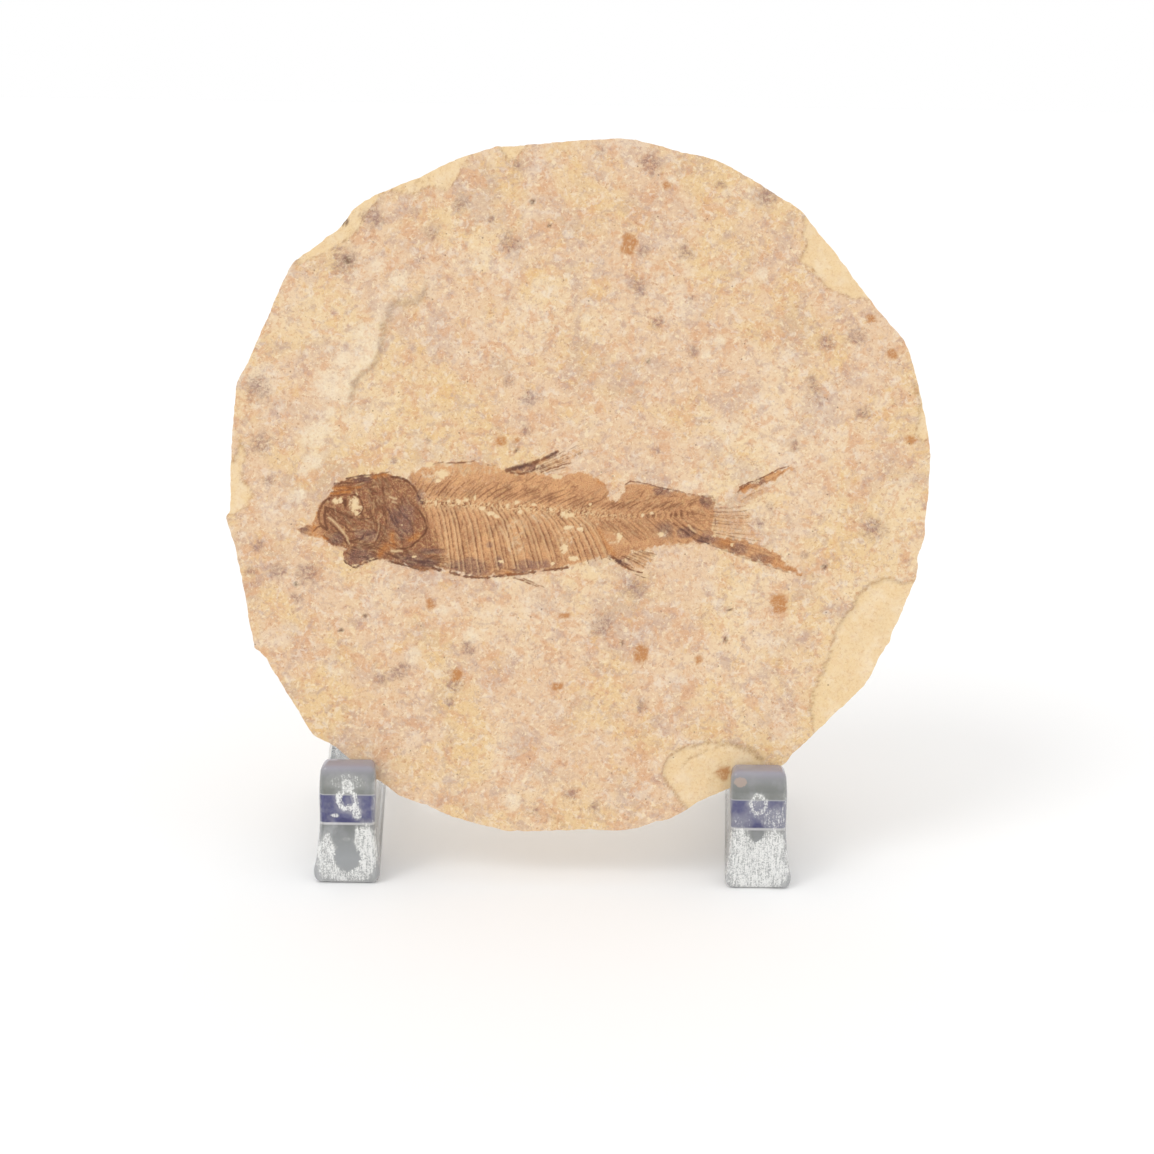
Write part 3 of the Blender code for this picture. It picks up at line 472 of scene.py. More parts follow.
# Lines of bone: half width, strength, and the line's points
headBones = [
    (0.34, 1, [(-49.9, -2.65), (-51, -3.4), (-51.7, -4.6), (-52, -6.1), (-51.7, -7.5),
                 (-51.2, -8.25)]),
    (0.28, 1, [(-50.5, -4.3), (-50.8, -6.1), (-50.65, -7.5), (-50.1, -8.6)]),
    (0.42, 0.95, [(-51.2, -8.3), (-50.3, -8.8)]),
    (0.20, 0.95, [(-52.9, -9.1), (-52.4, -8.5), (-51.7, -8.2), (-50.8, -8.4), (-50.3, -9.1)]),
    (0.30, 0.75, [(-50.3, -4.8), (-49.4, -6.1), (-48.3, -7.15), (-46.6, -8.1), (-45.8, -9)]),
    (0.20, 0.7, [(-49.9, -4.7), (-48.6, -5.9), (-47.4, -6.9), (-46, -7.7)]),
    (0.20, 1, [(-50.6, -4.2), (-49, -4.8), (-47.6, -5.5), (-45.8, -6.3), (-43.6, -6.8),
                 (-41.8, -6.6), (-41.1, -6.2)]),
    (0.24, 1, [(-49.7, -7.4), (-48.1, -9), (-46.9, -10.4), (-46.1, -11.9)]),
    (0.16, 0.6, [(-49.9, -9.3), (-48.5, -9.9), (-47.2, -11)]),
    (0.16, 0.6, [(-50, -10.2), (-48.6, -10.8), (-47.2, -11.9)]),
    (0.24, 1, [(-46.1, -11.1), (-44.3, -11.5), (-42.2, -11.9), (-40.7, -11.5), (-40, -10.4),
                 (-39.6, -9), (-39.6, -7.4)]),
    (0.16, 0.55, [(-45.4, -9.9), (-43.9, -10.6), (-42.2, -10.8), (-41, -10.2), (-40.4, -9)]),
    (0.16, 0.5, [(-45.6, -8.9), (-43.8, -9.6), (-42.2, -9.6), (-41.2, -8.8)]),
    (0.16, 0.45, [(-45.2, -7.9), (-43.4, -8.4), (-41.8, -8)]),
    (0.20, 0.9, [(-46.1, -2.4), (-45.4, -1.9), (-44.6, -1.8), (-43.8, -2.4), (-43.3, -3.4),
                 (-43.1, -4.4), (-43.2, -5.2), (-44.2, -6.2)]),
    (0.45, 1, [(-46.8, -3.1), (-46.6, -4.3)]),
    (0.20, 0.9, [(-48.8, 0.4), (-47, 0.45), (-45, 0.5), (-43.4, 0.7), (-41.8, 1.15)]),
    (0.24, 0.8, [(-46.4, 1.4), (-44, 1.9), (-42.6, 2.1), (-41, 2.1)]),
    (0.16, 0.7, [(-45.4, 1), (-43.6, 1.3), (-42, 1.6)]),
    (0.18, 0.7, [(-49.4, -1.3), (-47.6, -1.1), (-46, -0.9)]),
    (0.20, 0.8, [(-49.5, -2), (-47.8, -1.9), (-46.4, -1.7)]),
    (0.16, 0.6, [(-48.6, -0.2), (-46.8, -0.1), (-45, 0), (-43.4, 0.1)]),
    (0.26, 0.55, [(-40.8, 2), (-39.5, 2.4), (-37.7, 2.7)]),
    (0.27, 0.95, [(-37.4, 1.7), (-36, 1.65), (-34.6, 1.15), (-33.2, 0), (-32.3, -1.4),
                  (-31.9, -2.5), (-31.2, -3.6)]),
    (0.20, 0.6, [(-36.2, 1), (-34.8, 0.4), (-33.6, -0.6), (-32.9, -1.8)]),
    (0.27, 0.95, [(-32.4, -4.4), (-31.4, -5.6), (-30.7, -7), (-30.3, -8.4), (-30.8, -9.7),
                  (-32, -10.95), (-33.5, -12.2), (-34.8, -12.6), (-36.4, -12.6)]),
    (0.26, 0.8, [(-38.6, -5.2), (-38.4, -7.4), (-38.8, -9.4), (-39.6, -11.2), (-40.4, -12.2)]),
    (0.20, 0.6, [(-38, -4.6), (-37.6, -6.4), (-37.8, -8.4)]),
    (0.30, 0.7, [(-41.6, -0.6), (-40.8, -2.2), (-40.4, -4), (-40.2, -5.6)]),
    (0.24, 0.6, [(-40, 0.4), (-39.2, -1), (-38.8, -2.6), (-38.6, -4.2)]),
    (0.20, 0.6, [(-38.4, 1.4), (-37.6, 0.2), (-36.6, -1), (-35.6, -1.8)]),
    (0.20, 0.9, [(-46, -12.2), (-44, -12.5), (-42, -12.4), (-40.6, -12.7)]),
    (0.18, 0.7, [(-45.6, -12.9), (-43.6, -13.2), (-41.4, -13.2), (-40, -13.9)]),
    (0.18, 0.6, [(-44.6, -13.9), (-42.6, -14.3), (-41, -14.6)]),
    (0.26, 0.8, [(-46.8, -15), (-45.9, -16.1), (-44.6, -16.4), (-43.2, -15.7), (-41.6, -15),
                 (-40.2, -14.6)]),
    (0.30, 0.8, [(-38, -13.7), (-36.4, -14.4), (-34.4, -14.6), (-32.4, -14.4)]),
    (0.30, 0.85, [(-37.8, -15.1), (-36, -15.6), (-34, -16.2), (-32, -16.8)]),
    (0.45, 0.6, [(-35, -13.2), (-32.6, -13.5), (-30.4, -13.3), (-28, -12.9), (-26, -12.6)]),
    (0.45, 0.75, [(-34, -15.3), (-31.6, -15.2), (-29.8, -15.8), (-28.2, -16.6)]),
    (0.18, 0.8, [(-28.2, -14.75), (-26.4, -14.6), (-24.6, -14.7)]),
]
finBones = [
    (0.50, 0.95, [(-14.3, 3), (-11.6, 3.8), (-8.6, 4.6), (-5.8, 5.9), (-4.2, 6.8)]),
    (0.30, 0.8, [(-13.6, 2.6), (-11.4, 2.3), (-9.4, 2.9), (-7, 4)]),
    (0.34, 0.7, [(-0.8, 5.9), (0.8, 6.7)]),
    (0.16, 0.6, [(-1.8, 7.2), (-0.6, 7.9), (0.2, 8)]),
    (0.34, 1, [(6.4, -14), (7.4, -14.7), (8.6, -15.7), (10.4, -16.8)]),
    (0.18, 0.9, [(10.2, -16.8), (11.6, -17.2), (12.8, -17.4)]),
    (0.16, 0.8, [(8.4, -15), (9.6, -15.8), (10.8, -16.4)]),
    (0.16, 0.7, [(11.4, -17.7), (12.6, -18.3), (13.8, -18.6)]),
    (0.22, 0.8, [(-13, -18.4), (-11.4, -18.9), (-9.8, -19.6), (-8, -20.2)]),
    (0.16, 0.7, [(-11, -18.6), (-9.6, -19.2), (-8.2, -19.8), (-6.8, -20.4)]),
    (0.30, 1, [(31.9, -1.4), (32.6, -0.5), (34, 0.3)]),
    (0.24, 1, [(32.2, -0.3), (34, 0.6), (36, 1.3), (38, 2.2), (40, 3.3), (42, 3.8)]),
    (0.18, 0.6, [(33.6, -0.8), (36.2, 0.2), (38.6, 1.3), (41, 2.8)]),
    (0.20, 0.6, [(32.4, -3), (33.6, -2.2), (35.2, -1.4), (37.2, -0.6)]),
    (0.30, 0.5, [(26.4, -11.2), (31, -12.6), (36, -14.4), (41, -16.4), (44.6, -17.9)]),
    (0.40, 0.6, [(26.8, -12), (30, -13.2), (34, -14.6), (38, -16), (42, -17.4)]),
    (0.60, 0.7, [(28, -11.8), (30, -12.4), (32, -12.9)]),
    (0.30, 0.85, [(19, -7.6), (21.4, -9.4), (23.6, -10.9), (26, -11.6)]),
    (0.22, 0.8, [(20.2, -7.4), (22.6, -9.2), (24.6, -10.4), (26.4, -10.8)]),
    (0.22, 0.7, [(21.4, -7.2), (23.6, -8.6), (25.6, -9.4)]),
    (0.22, 0.7, [(20.4, -5), (23, -5.6), (25.4, -6)]),
    (0.80, 0.6, [(24.4, -3.2), (26.4, -3.4)]),
    (0.60, 0.6, [(24.6, -10.6), (26.4, -11)]),
    (0.24, 0.9, [(27.4, -6.8), (27.4, -7.8)]),
    (0.40, 0.5, [(19, -0.9), (21, -1.4), (23, -1.9), (25, -2.2), (26.8, -2.1),
                 (27.2, -3.4), (28.6, -3.9)]),
    (0.20, 0.7, [(9.4, 0.2), (10.4, 0.9), (13, 0.5), (16, -0.3), (20, -1.1)]),
    (0.22, 0.7, [(-30, 4), (-28.7, 4.4), (-27, 4.7)]),
    (0.22, 0.75, [(-26.4, 4.5), (-24.6, 4.5), (-23, 4.6), (-20.8, 4.9)]),
    (0.18, 0.7, [(-18.2, 4.2), (-16.6, 4)]),
    (0.26, 0.8, [(-17, -18.2), (-13, -17.9), (-10, -17.6)]),
    (0.20, 0.9, [(-7, -17), (-3, -16.5), (-2, -16.9)]),
]
finFans = [  # the first and the last ray of each fan, and how many
    ([(-9.4, 3.8), (-6.2, 5), (-2.6, 6.9)], [(-7, 2.3), (-4.6, 3.2), (-1.2, 4)], 7),
    ([(8.6, -14.2), (11, -15.2), (13.4, -16.6)], [(12.8, -13), (14.2, -13.4), (15.8, -13.8)], 6),
    ([(26.6, -4.6), (30, -4.6), (33.4, -4.2)], [(26, -8), (30, -8.6), (34.8, -9)], 7),
    ([(27, -9), (30.5, -9.7), (35.4, -10)], [(28, -11.2), (34, -12.8), (41.2, -15.2)], 5),
]
glowLines = [
    (0.5, 1, [(-49.6, -1.6), (-47.6, -1.4), (-45.8, -1.2)]),
    (0.4, 1, [(-49, -0.6), (-46.4, -0.5), (-43.6, -0.4)]),
    (0.6, 0.9, [(-40.8, 1.6), (-39.2, 2.1), (-37.7, 2.6)]),
    (0.35, 1, [(-53, -10.1), (-51.2, -10.4), (-50.1, -10.7)]),
    (0.5, 0.9, [(-52.8, -8.2), (-53.2, -9.4)]),
    (0.45, 0.8, [(-52.4, -4.6), (-52.6, -6.4)]),
    (0.4, 0.9, [(-43.4, -15.8), (-41, -15.7), (-39, -15.3)]),
    (0.8, 0.8, [(-37.2, -9.8), (-37, -11.8), (-39.2, -12.6), (-39.8, -14)]),
    (0.7, 0.8, [(-32.2, -10), (-33.8, -10.9)]),
    (0.6, 0.9, [(-14.2, -17.6), (-11.6, -18), (-9.4, -18.2)]),
    (0.4, 0.9, [(-1.5, -16.2), (2, -15.8)]),
    (0.5, 0.6, [(-20, 5.8), (-17, 5.1)]),
    (0.9, 0.8, [(32.2, -1.2), (33.6, -0.2)]),
    (1, 0.35, [(38, 1.8), (42, 3.6)]),
    (1, 0.35, [(38, -14.8), (42, -16.6), (45.6, -18.2)]),
    (0.8, 0.7, [(28.8, -11.2), (30.8, -11.9)]),
    (0.9, 0.6, [(3.6, -9.4), (5.4, -11.8), (7, -13.6)]),
    (0.7, 0.7, [(4.2, 0.8), (6.2, 0.6)]),
]
paleLines = [
    (0.2, 0.8, [(-49.9, -6.45), (-49, -7.15), (-47.6, -8.6), (-46.5, -10.05), (-45.8, -11.7)]),
    (0.14, 0.35, [(-39.9, -6.5), (-39.9, -8.4), (-40.2, -9.8), (-40.9, -11)]),
    (0.22, 0.9, [(-37.4, -13.1), (-35.2, -13.1)]),
    (0.2, 0.9, [(-37.7, -2.3), (-36.4, -2.7)]),
    (0.16, 0.8, [(-37.2, -3.2), (-36.4, -3.4)]),
    (0.2, 0.6, [(-43, -16.3), (-40.4, -16), (-38.4, -15.7)]),
    (0.2, 0.8, [(-19, -5), (-17, -6)]),
    (0.2, 0.6, [(-13, -6.4), (-11.4, -8.6), (-10.6, -10.4)]),
    (0.2, 0.6, [(-15.8, -8.2), (-14.4, -10.6), (-13.8, -13)]),
    (0.2, 0.7, [(22, -8), (23.5, -9.4)]),
    (0.2, 0.6, [(1, 7.5), (3.2, 7.4)]),
]
strokeZones = [  # short strands of bone: middle, half width, half height, slant, how many
    (-42.8, -8.6, 3, 1.6, -16, 40), (-42.2, -11.2, 3, 1.2, 14, 30),
    (-44.6, -6.4, 2.6, 1.2, -34, 24),
    (-35.2, -6.4, 3, 4.8, -62, 70), (-37.6, -10.2, 3.4, 2.4, -30, 40),
    (-40.4, -6, 1.8, 3.6, -74, 40),
    (-44.6, 0.4, 4.6, 1.5, 6, 60), (-39.8, -1.6, 2.6, 3.2, -55, 90),
    (-24, 0.4, 9, 2.8, 50, 130), (-8, -0.8, 8, 2.6, 34, 110), (8, -2.6, 8, 2.2, 32, 100),
    (18, -3.2, 6, 1.8, 28, 70), (12, -8.6, 8, 1.8, -40, 100), (-25, -15.2, 6, 1.3, -8, 70),
    (-20, -10.6, 9, 4.4, -76, 90), (-6, -11, 7, 3.6, -62, 70),
    (-41, -13.4, 5.2, 1.9, -14, 80), (-32, -14.9, 4.6, 1.9, -10, 80),
    (-48.4, -10.4, 2.4, 1.5, -38, 36), (-48.4, -6.4, 2, 1.8, -40, 30),
    (-54.6, -8.9, 1.8, 0.9, -10, 24), (-18, -17.2, 9, 1, -6, 90),
    (-9, 4.6, 5.6, 1.6, 24, 50), (24.4, -6.4, 2.8, 4.4, -28, 60),
    (34, -13.4, 6.6, 1.2, -24, 50), (37, 1.6, 5.6, 1, 22, 40), (20, -9.6, 4, 1.8, -38, 40),
]
spineLine = [
    (-30.6, -3.3), (-25, -3.6), (-20, -3.9), (-15, -4.2), (-10, -4.5), (-5, -5),
    (0, -5.5), (5, -5.9), (10, -6.1), (15, -6), (20, -5.8), (24.5, -5.4),
]
scuteLine = [
    (-29, -16.6), (-26, -17.3), (-23, -18.1), (-20, -18.5), (-17.4, -18.4),
    (-14, -17.8), (-10, -17.4), (-6, -16.9), (-2.4, -16.5),
]
bareAreas = [  # bare stone inside the fish: u, v, half width, half height
    (-44.7, -3.9, 1, 1.7), (-44.4, -5.4, 0.6, 0.6), (-48.6, -3.1, 1.1, 0.5),
    (-47.6, -3, 0.5, 0.5), (2.4, -3.7, 0.3, 0.3), (-35.3, -7.9, 0.2, 0.15),
    (-28.6, -3.3, 0.3, 0.5), (-26, -3.2, 0.4, 0.4), (-24.1, -3.2, 0.6, 0.5),
    (-22.5, -2.8, 0.5, 0.5), (-20.7, -2.4, 0.3, 0.6), (-19.3, -4.5, 0.7, 0.4),
    (-17.6, -5.6, 0.8, 0.4), (-16.4, -6, 0.4, 0.4), (-14.2, -4.2, 0.4, 0.6),
    (-12.2, -3.4, 0.5, 0.3), (-11.7, -5.3, 0.4, 0.4), (-8.9, -3.7, 0.4, 0.3),
    (-5.6, -4.8, 0.4, 0.3), (-2.2, -5.8, 1.1, 0.6), (-2, -8.5, 0.8, 0.4),
    (0.5, -8.7, 0.7, 0.4), (8.1, -10.3, 0.5, 0.8), (16.6, -9.8, 0.6, 0.4),
    (-2.8, -12.6, 0.7, 0.8), (-1, -14.6, 0.8, 0.5), (12.9, -5.9, 0.4, 0.3),
    (14.6, -5.6, 0.3, 0.3), (-4.4, 1.8, 0.8, 0.5), (30.7, -11.9, 0.25, 0.3),
    (-32.9, -14.2, 0.4, 0.2), (-15.6, -15.2, 0.4, 0.3), (-5, -15.6, 0.4, 0.3),
    (-30, 4.2, 0.8, 0.5), (-27.2, 2.3, 1.2, 0.7), (-28.2, 1, 0.6, 0.4),
]
thinAreas = [  # skin worn thin and yellow
    (-12.4, -8.6, 2.8, 2.6), (-12.6, -12, 2, 2.6), (-8, -6.6, 2.4, 1.2),
    (-24, 3.2, 4, 1.4), (-29.4, 2.2, 2.2, 2), (-2.4, -10.6, 2, 2.4), (1.6, -7.6, 3, 0.8),
    (7, -10.4, 1.8, 1.4), (16.6, -9.6, 1.6, 1), (-17.6, 3.4, 2.4, 1), (7.4, -1, 0.8, 1.8),
    (-26.6, -14, 1.4, 0.5), (-26, -15.8, 2, 0.5),
]
mauveAreas = [  # greyer, darker skin
    (-35.2, -7.2, 2.8, 3.4), (-34.6, -5, 1.8, 1.2), (-55, -8.8, 1.4, 1),
    (-42.4, -10, 2.4, 1.2), (-48.4, -10.8, 1.6, 1.2), (-43.6, -14.2, 3.4, 1.8),
    (-42.6, 1.4, 2.2, 0.8), (-33.6, -14.8, 3.2, 1.4), (-29.4, -13.2, 2.4, 0.6),
    (-30.2, -15.4, 2.6, 1), (-17.8, -11.9, 0.6, 0.5), (-15.8, -15.4, 1.2, 1.5),
    (-20.6, -17.2, 3.4, 1), (-12, -17, 2, 0.5), (25.8, -3.4, 1.6, 1.4),
    (25.6, -10.8, 2.4, 1.4), (31.9, -12.6, 1.8, 1.2), (17.2, -9, 1.8, 1.6),
    (17, -1.2, 2.2, 1), (36, 0.8, 1.6, 0.8), (-10.6, 3.6, 3.6, 1),
    (-5.4, 6.2, 1.6, 0.8), (8.2, -15.3, 2.2, 1), (-31.6, -2.4, 0.8, 1.4),
    (36.6, -14.6, 2.4, 1), (21.6, -9.4, 2, 1), (-22, -16, 5, 1.3), (-9, -15.9, 5, 1),
]


def heightOn(line, u):  # a line's height v at u
    return float(np.interp(u, [p[0] for p in line], [p[1] for p in line]))


def makeRibs(rolls):  # ribs that hang from the backbone and lean back more toward the tail
    ribs = []
    u, last = fishLook["ribs"]
    throat, throatFoot = fishLook["throatEnd"]
    while u < last:
        top = heightOn(spineLine, u) - 0.6
        back = float(np.interp(u, [-32, -24, -14, 2], [1.6, 2.6, 4.2, 5.6]))
        back *= rolls.uniform(0.92, 1.08)
        foot = heightOn(scuteLine, u + back) + rolls.uniform(0.6, 1.6)
        if u < throat:
            foot = throatFoot
        ribs.append([(u + back * t ** 0.62, top + (foot - top) * t)
                     for t in (0, 0.2, 0.45, 0.72, 1)])
        u += rolls.uniform(0.75, 1.4)
    return ribs


def makeSpines(rolls):  # thin spines that rise to the right above the backbone
    spines = []
    u, last = fishLook["upperSpines"]
    while u < last:
        steep = math.radians(np.interp(u, [-33, -22, -12, 22], [66, 44, 30, 36]))
        length = float(np.interp(u, [-33, -20, -8, 5, 22], [4.6, 6, 5.4, 4, 2]))
        length *= rolls.uniform(0.6, 1.1)
        base = heightOn(spineLine, u) + rolls.uniform(0.6, 1.6)
        line = [(u + length * t * math.cos(steep),
                 base + length * t * math.sin(steep) * (1 - 0.2 * t)) for t in (0, 0.5, 1)]
        spines.append((0.19, rolls.uniform(0.4, 0.85), line))
        u += rolls.uniform(0.5, 0.95)
    u, last = fishLook["lowerSpines"]
    while u < last:  # and below it, toward the tail
        length = float(np.interp(u, [4, 14, 23], [6.4, 5.4, 3])) * rolls.uniform(0.8, 1.1)
        base = heightOn(spineLine, u) - rolls.uniform(0.6, 1)
        line = [(u + length * t * 0.76, base - length * t * 0.64) for t in (0, 0.5, 1)]
        spines.append((0.17, rolls.uniform(0.45, 0.8), line))
        u += rolls.uniform(0.6, 1)
    return spines


def makeRays(rolls):
    rays = []
    for first, last, count in finFans:
        for k in range(count):
            share = (k + rolls.uniform(-0.25, 0.25)) / (count - 1)
            line = [tuple(Vector(a).lerp(Vector(b), share)) for a, b in zip(first, last)]
            rays.append((rolls.uniform(0.15, 0.19), rolls.uniform(0.55, 0.85), line))
    return rays


def makeStrokes(rolls):  # dark and pale strands that fill the head, the belly and the fins
    dark, pale = [], []
    for middleU, middleV, wide, tall, slant, count in strokeZones:
        for _ in range(count):
            turn = rolls.uniform(0, 2 * math.pi)
            reach = rolls.uniform(0.02, 1) ** 0.5
            length = rolls.uniform(0.5, 2)
            lie = math.radians(slant + rolls.gauss(0, 16))
            u0 = middleU + wide * reach * math.cos(turn)
            v0 = middleV + tall * reach * math.sin(turn)
            line = [(u0 + length * t * math.cos(lie), v0 + length * t * math.sin(lie))
                    for t in (-0.5, 0, 0.5)]
            if rolls.random() < fishLook["darkStrands"]:
                dark.append((rolls.uniform(0.16, 0.26), rolls.uniform(0.45, 1), line))
            else:
                pale.append((rolls.uniform(0.12, 0.2), rolls.uniform(0.1, 0.4), line))
    return dark, pale


def drawBones(points, bones, shift):  # how strongly bone shows, as a rounded ridge
    strength = np.zeros(len(points))
    for half, amount, line in bones:
        low = np.min(line, axis=0) - half * 3 - 0.4
        high = np.max(line, axis=0) + half * 3 + 0.4
        near = np.nonzero(np.all((points > low) & (points < high), axis=1))[0]
        if len(near):
            distance, along, _ = lineDistance(points[near] + shift[near], line)
            shown = amount * ridge(distance, half * (1 - 0.35 * ease(along, 0.5, 1)))
            strength[near] = np.maximum(strength[near], shown)
    return strength


def fishMarks(points):  # every mark on the fish, for its colours and its relief
    rolls = random.Random(fishLook["seed"])
    u, v = points.T
    shift = tremor(points, 0.9, 13, 17) * 0.1
    wobble = clouds(points, 0.7, 21, 4, 0.5)
    broad = clouds(points, 3, 25)
    worn = ease(wobble + 0.4 * broad, -0.5, 0.5)
    head = fall(u + 0.4 * v, -34.5, -30.5) * ease(u, -53, -50)
    rear = 0.2 * ease(u, -4, 8) * fall(u, 28, 34)

    # Skin or scales, and where they are worn or missing
    torn = points + tremor(points, 1.1, 51, 53, 4) * 0.6
    film = np.max([amount * fall(edgeDistance(torn, outline), -0.8, 0.3)
                   for amount, outline in filmAreas], axis=0)
    bare = ovals(points, bareAreas, wobble * 1.5)
    thin = ovals(points, thinAreas, broad) * worn

    # Dark bones and strands, with pale gaps between them and a painted highlight beside each rib
    hanging = makeRibs(rolls)
    ribs = [(rolls.uniform(0.14, 0.2), rolls.uniform(0.55, 0.85), line) for line in hanging]
    # Painted highlight: a pale line along the lit left side of each raised rib
    edges = [(0.2, rolls.uniform(0.15, 0.5), [(ribU - 0.38, ribV) for ribU, ribV in line])
             for line in hanging[3:]]
    strands, gaps = makeStrokes(rolls)
    uneven = 0.7 + 0.45 * ease(clouds(points, 0.9, 29), -0.6, 0.3)
    bones = drawBones(points, ribs + headBones + finBones + makeRays(rolls), shift) * uneven
    spines = drawBones(points, makeSpines(rolls), shift) * 0.9
    strokes = drawBones(points, strands, shift) * (0.62 + 0.2 * head) * np.minimum(film * 1.3, 1)
    pale = np.maximum(drawBones(points, paleLines + edges, shift),
                      drawBones(points, gaps, shift) * film * 0.7)

    # The backbone's rings with pale flecks, and the toothed keel of the belly
    fromSpine, along, _ = lineDistance(points + shift, spineLine)
    rings = 0.5 + 0.5 * np.cos(along * fishLook["vertebrae"] * 2 * math.pi + wobble * 1.5)
    column = 0.85 * ridge(fromSpine, 0.85) * (0.25 + 0.75 * rings) * (0.7 + 0.3 * worn)
    flecks = 0.9 * ease(clouds(points, 0.34, 33), 0, 0.35) * ridge(fromSpine, 1.2)
    flecks *= fall(u, -2, 20)
    fromKeel, along, _ = lineDistance(points + shift, scuteLine)
    teeth = 0.5 + 0.5 * np.cos(along * fishLook["scutes"] * 2 * math.pi)
    keel = ridge(fromKeel, 0.22 + 0.26 * teeth) * ease(clouds(points, 1.6, 57), -0.5, 0.2)
    busy = 0.5 * ease(clouds(points, 0.45, 37, 4, 0.5), -0.4, 0.7) * head
    slanted = points @ np.array([[1, 0.9], [0.35, -1.9]])
    hairs = 0.35 * ease(clouds(slanted, 1.1, 39), 0.1, 0.5)

    dark = np.maximum.reduce([bones, spines, strokes]) * (1 - 0.25 * ease(u, 23, 28))
    dark = np.maximum.reduce([dark, column, keel, np.maximum(busy, hairs) * film])
    hidden = np.maximum.reduce([bare, pale, flecks])
    return {
        "film": np.clip(film * (1 - 0.9 * bare) * (1 - 0.5 * thin), 0, 1),
        "bone": np.clip(dark * (1 - 0.9 * hidden) * (1 - 0.25 * thin), 0, 1),
        "mauve": ovals(points, mauveAreas, broad) * (0.7 + 0.3 * worn) * (1 - hidden),
        "glow": drawBones(points, glowLines, shift * 2) * (1 - hidden),
        # bare stone and pale marks, which include the painted rib highlights
        "bare": np.clip(np.maximum(hidden, 0.3 * thin), 0, 1),
        "deep": np.maximum.reduce([0.5 * ease(broad + 0.5 * wobble, -0.1, 0.6), rear,
                                   head * (0.8 + 0.2 * worn)]),
    }


def fishEdge(points):  # distance to the fish's frayed outline
    return edgeDistance(points + tremor(points, 0.8, 43, 47) * fishLook["ragged"], fishOutline)


def makeFish():
    look = fishLook
    low, high = Vector(look["low"]), Vector(look["high"])
    size, middle = high - low, (low + high) / 2
    bm = bmesh.new()
    bmesh.ops.create_grid(bm, x_segments=int(size.x / look["cell"]),
                          y_segments=int(size.y / look["cell"]), size=0.5)
    bmesh.ops.scale(bm, vec=(size.x, size.y, 1), verts=bm.verts)
    bmesh.ops.translate(bm, vec=(middle.x, middle.y, 0), verts=bm.verts)
    edge = fishEdge(np.array([vert.co.xy for vert in bm.verts]))
    far = {vert for vert, distance in zip(bm.verts, edge) if distance > look["margin"]}
    faces = [face for face in bm.faces if any(vert in far for vert in face.verts)]
    bmesh.ops.delete(bm, geom=faces, context="FACES")
    loose = [vert for vert in bm.verts if not vert.link_faces]
    bmesh.ops.delete(bm, geom=loose, context="VERTS")

    # A skirt goes down from the grid's edge and is closed underneath
    rim, lower = extrudeRim(bm, [edge for edge in bm.edges if edge.is_boundary])
    for vert in lower:
        vert.co.z = look["under"]
    bmesh.ops.triangle_fill(bm, edges=rim, use_beauty=False, use_dissolve=False)
    bmesh.ops.recalc_face_normals(bm, faces=bm.faces)
    fish = addPiece("fossil_fish_bones", bm)

    places = coordinates(fish.data)
    points = places[:, :2]
    marks = fishMarks(points)
    height = frontHeight(points, np.zeros(len(points)), scarProfile(points)[0])
    height += look["lift"] + look["filmHeight"] * marks["film"]
    height += look["boneHeight"] * marks["bone"]
    height -= look["edgeSink"] * ease(fishEdge(points), -0.1, 0.45)
    top = places[:, 2] > look["under"] / 2
    places[top, 2] = height[top]
    fish.data.vertices.foreach_set("co", places.ravel())
    fish.data.update()
    setAttributes(fish.data, marks)
    fish.data.transform(faceToWorld)
    fish.data.shade_smooth()
    return fish


# The clear feet

footLook = {
    "front": -26.5, "back": 26.5,
    "lipTop": 24.9, "baseHeight": 13.9, "baseEnd": 10,
    "uprightTop": 70, "uprightThickness": 7,
    "slotGap": 0.3,
    "innerSides": (-39.3, 31),    # of the left and the right foot
    "width": 10.8, "flare": 1.4, "taper": 4,
    "shoulder": (26, 29), "shoulderInset": 1.3,
    "rounding": 1.2,
    "heel": 0.6, "heelHeight": 2.2, "heelSpread": 1.9,    # swollen near the floor
    "wave": 0.18, "waveLength": 2.6,                      # and softly wavy sides
    "levels": (1.6, 2.4, 3.2, 4, 4.8, 5.6, 6.6, 7.8, 9, 10.4, 12, 13.2, 14.4, 15.5, 17, 18.5,
               20, 21.4, 22.6, 25.6, 26.6, 27.5, 28.4, 29.2, 40, 55),    # cuts that let it bend
}


def onLean(along, behind):  # (y, z) of a point up the lean and behind the face
    _, centreY, centreZ = stance["faceCentre"]
    return (centreY + along * math.sin(lean) + behind * math.cos(lean),
            centreZ + along * math.cos(lean) - behind * math.sin(lean))


def onLevel(z, behind):  # the same for a height above the floor
    return onLean((z - stance["faceCentre"][2] + behind * math.sin(lean)) / math.cos(lean), behind)


def seatBelow(low, high):  # the slab's lowest rim between two sides, along the lean
    roll = math.radians(stance["roll"])
    lowest = 0
    for start, end in zip(slabOutline, slabOutline[1:] + slabOutline[:1]):
        for k in range(21):
            u, v = Vector(start).lerp(Vector(end), k / 20)
            x = stance["faceCentre"][0] + u * math.cos(roll) - v * math.sin(roll)
            if low <= x <= high:
                lowest = min(lowest, v * math.cos(roll) + u * math.sin(roll))
    return lowest


def footProfile(seat):
    look = footLook
    gap = look["slotGap"]
    slotBack = slabLook["thickness"] + gap
    rear = slotBack + look["uprightThickness"]
    return [
        (look["front"], 0), (look["front"], look["lipTop"]),
        onLevel(look["lipTop"], -gap), onLean(seat, -gap), onLean(seat, slotBack),
        onLevel(look["uprightTop"], slotBack), onLevel(look["uprightTop"], rear),
        onLevel(look["baseHeight"], rear), (look["back"], look["baseEnd"]), (look["back"], 0),
    ]


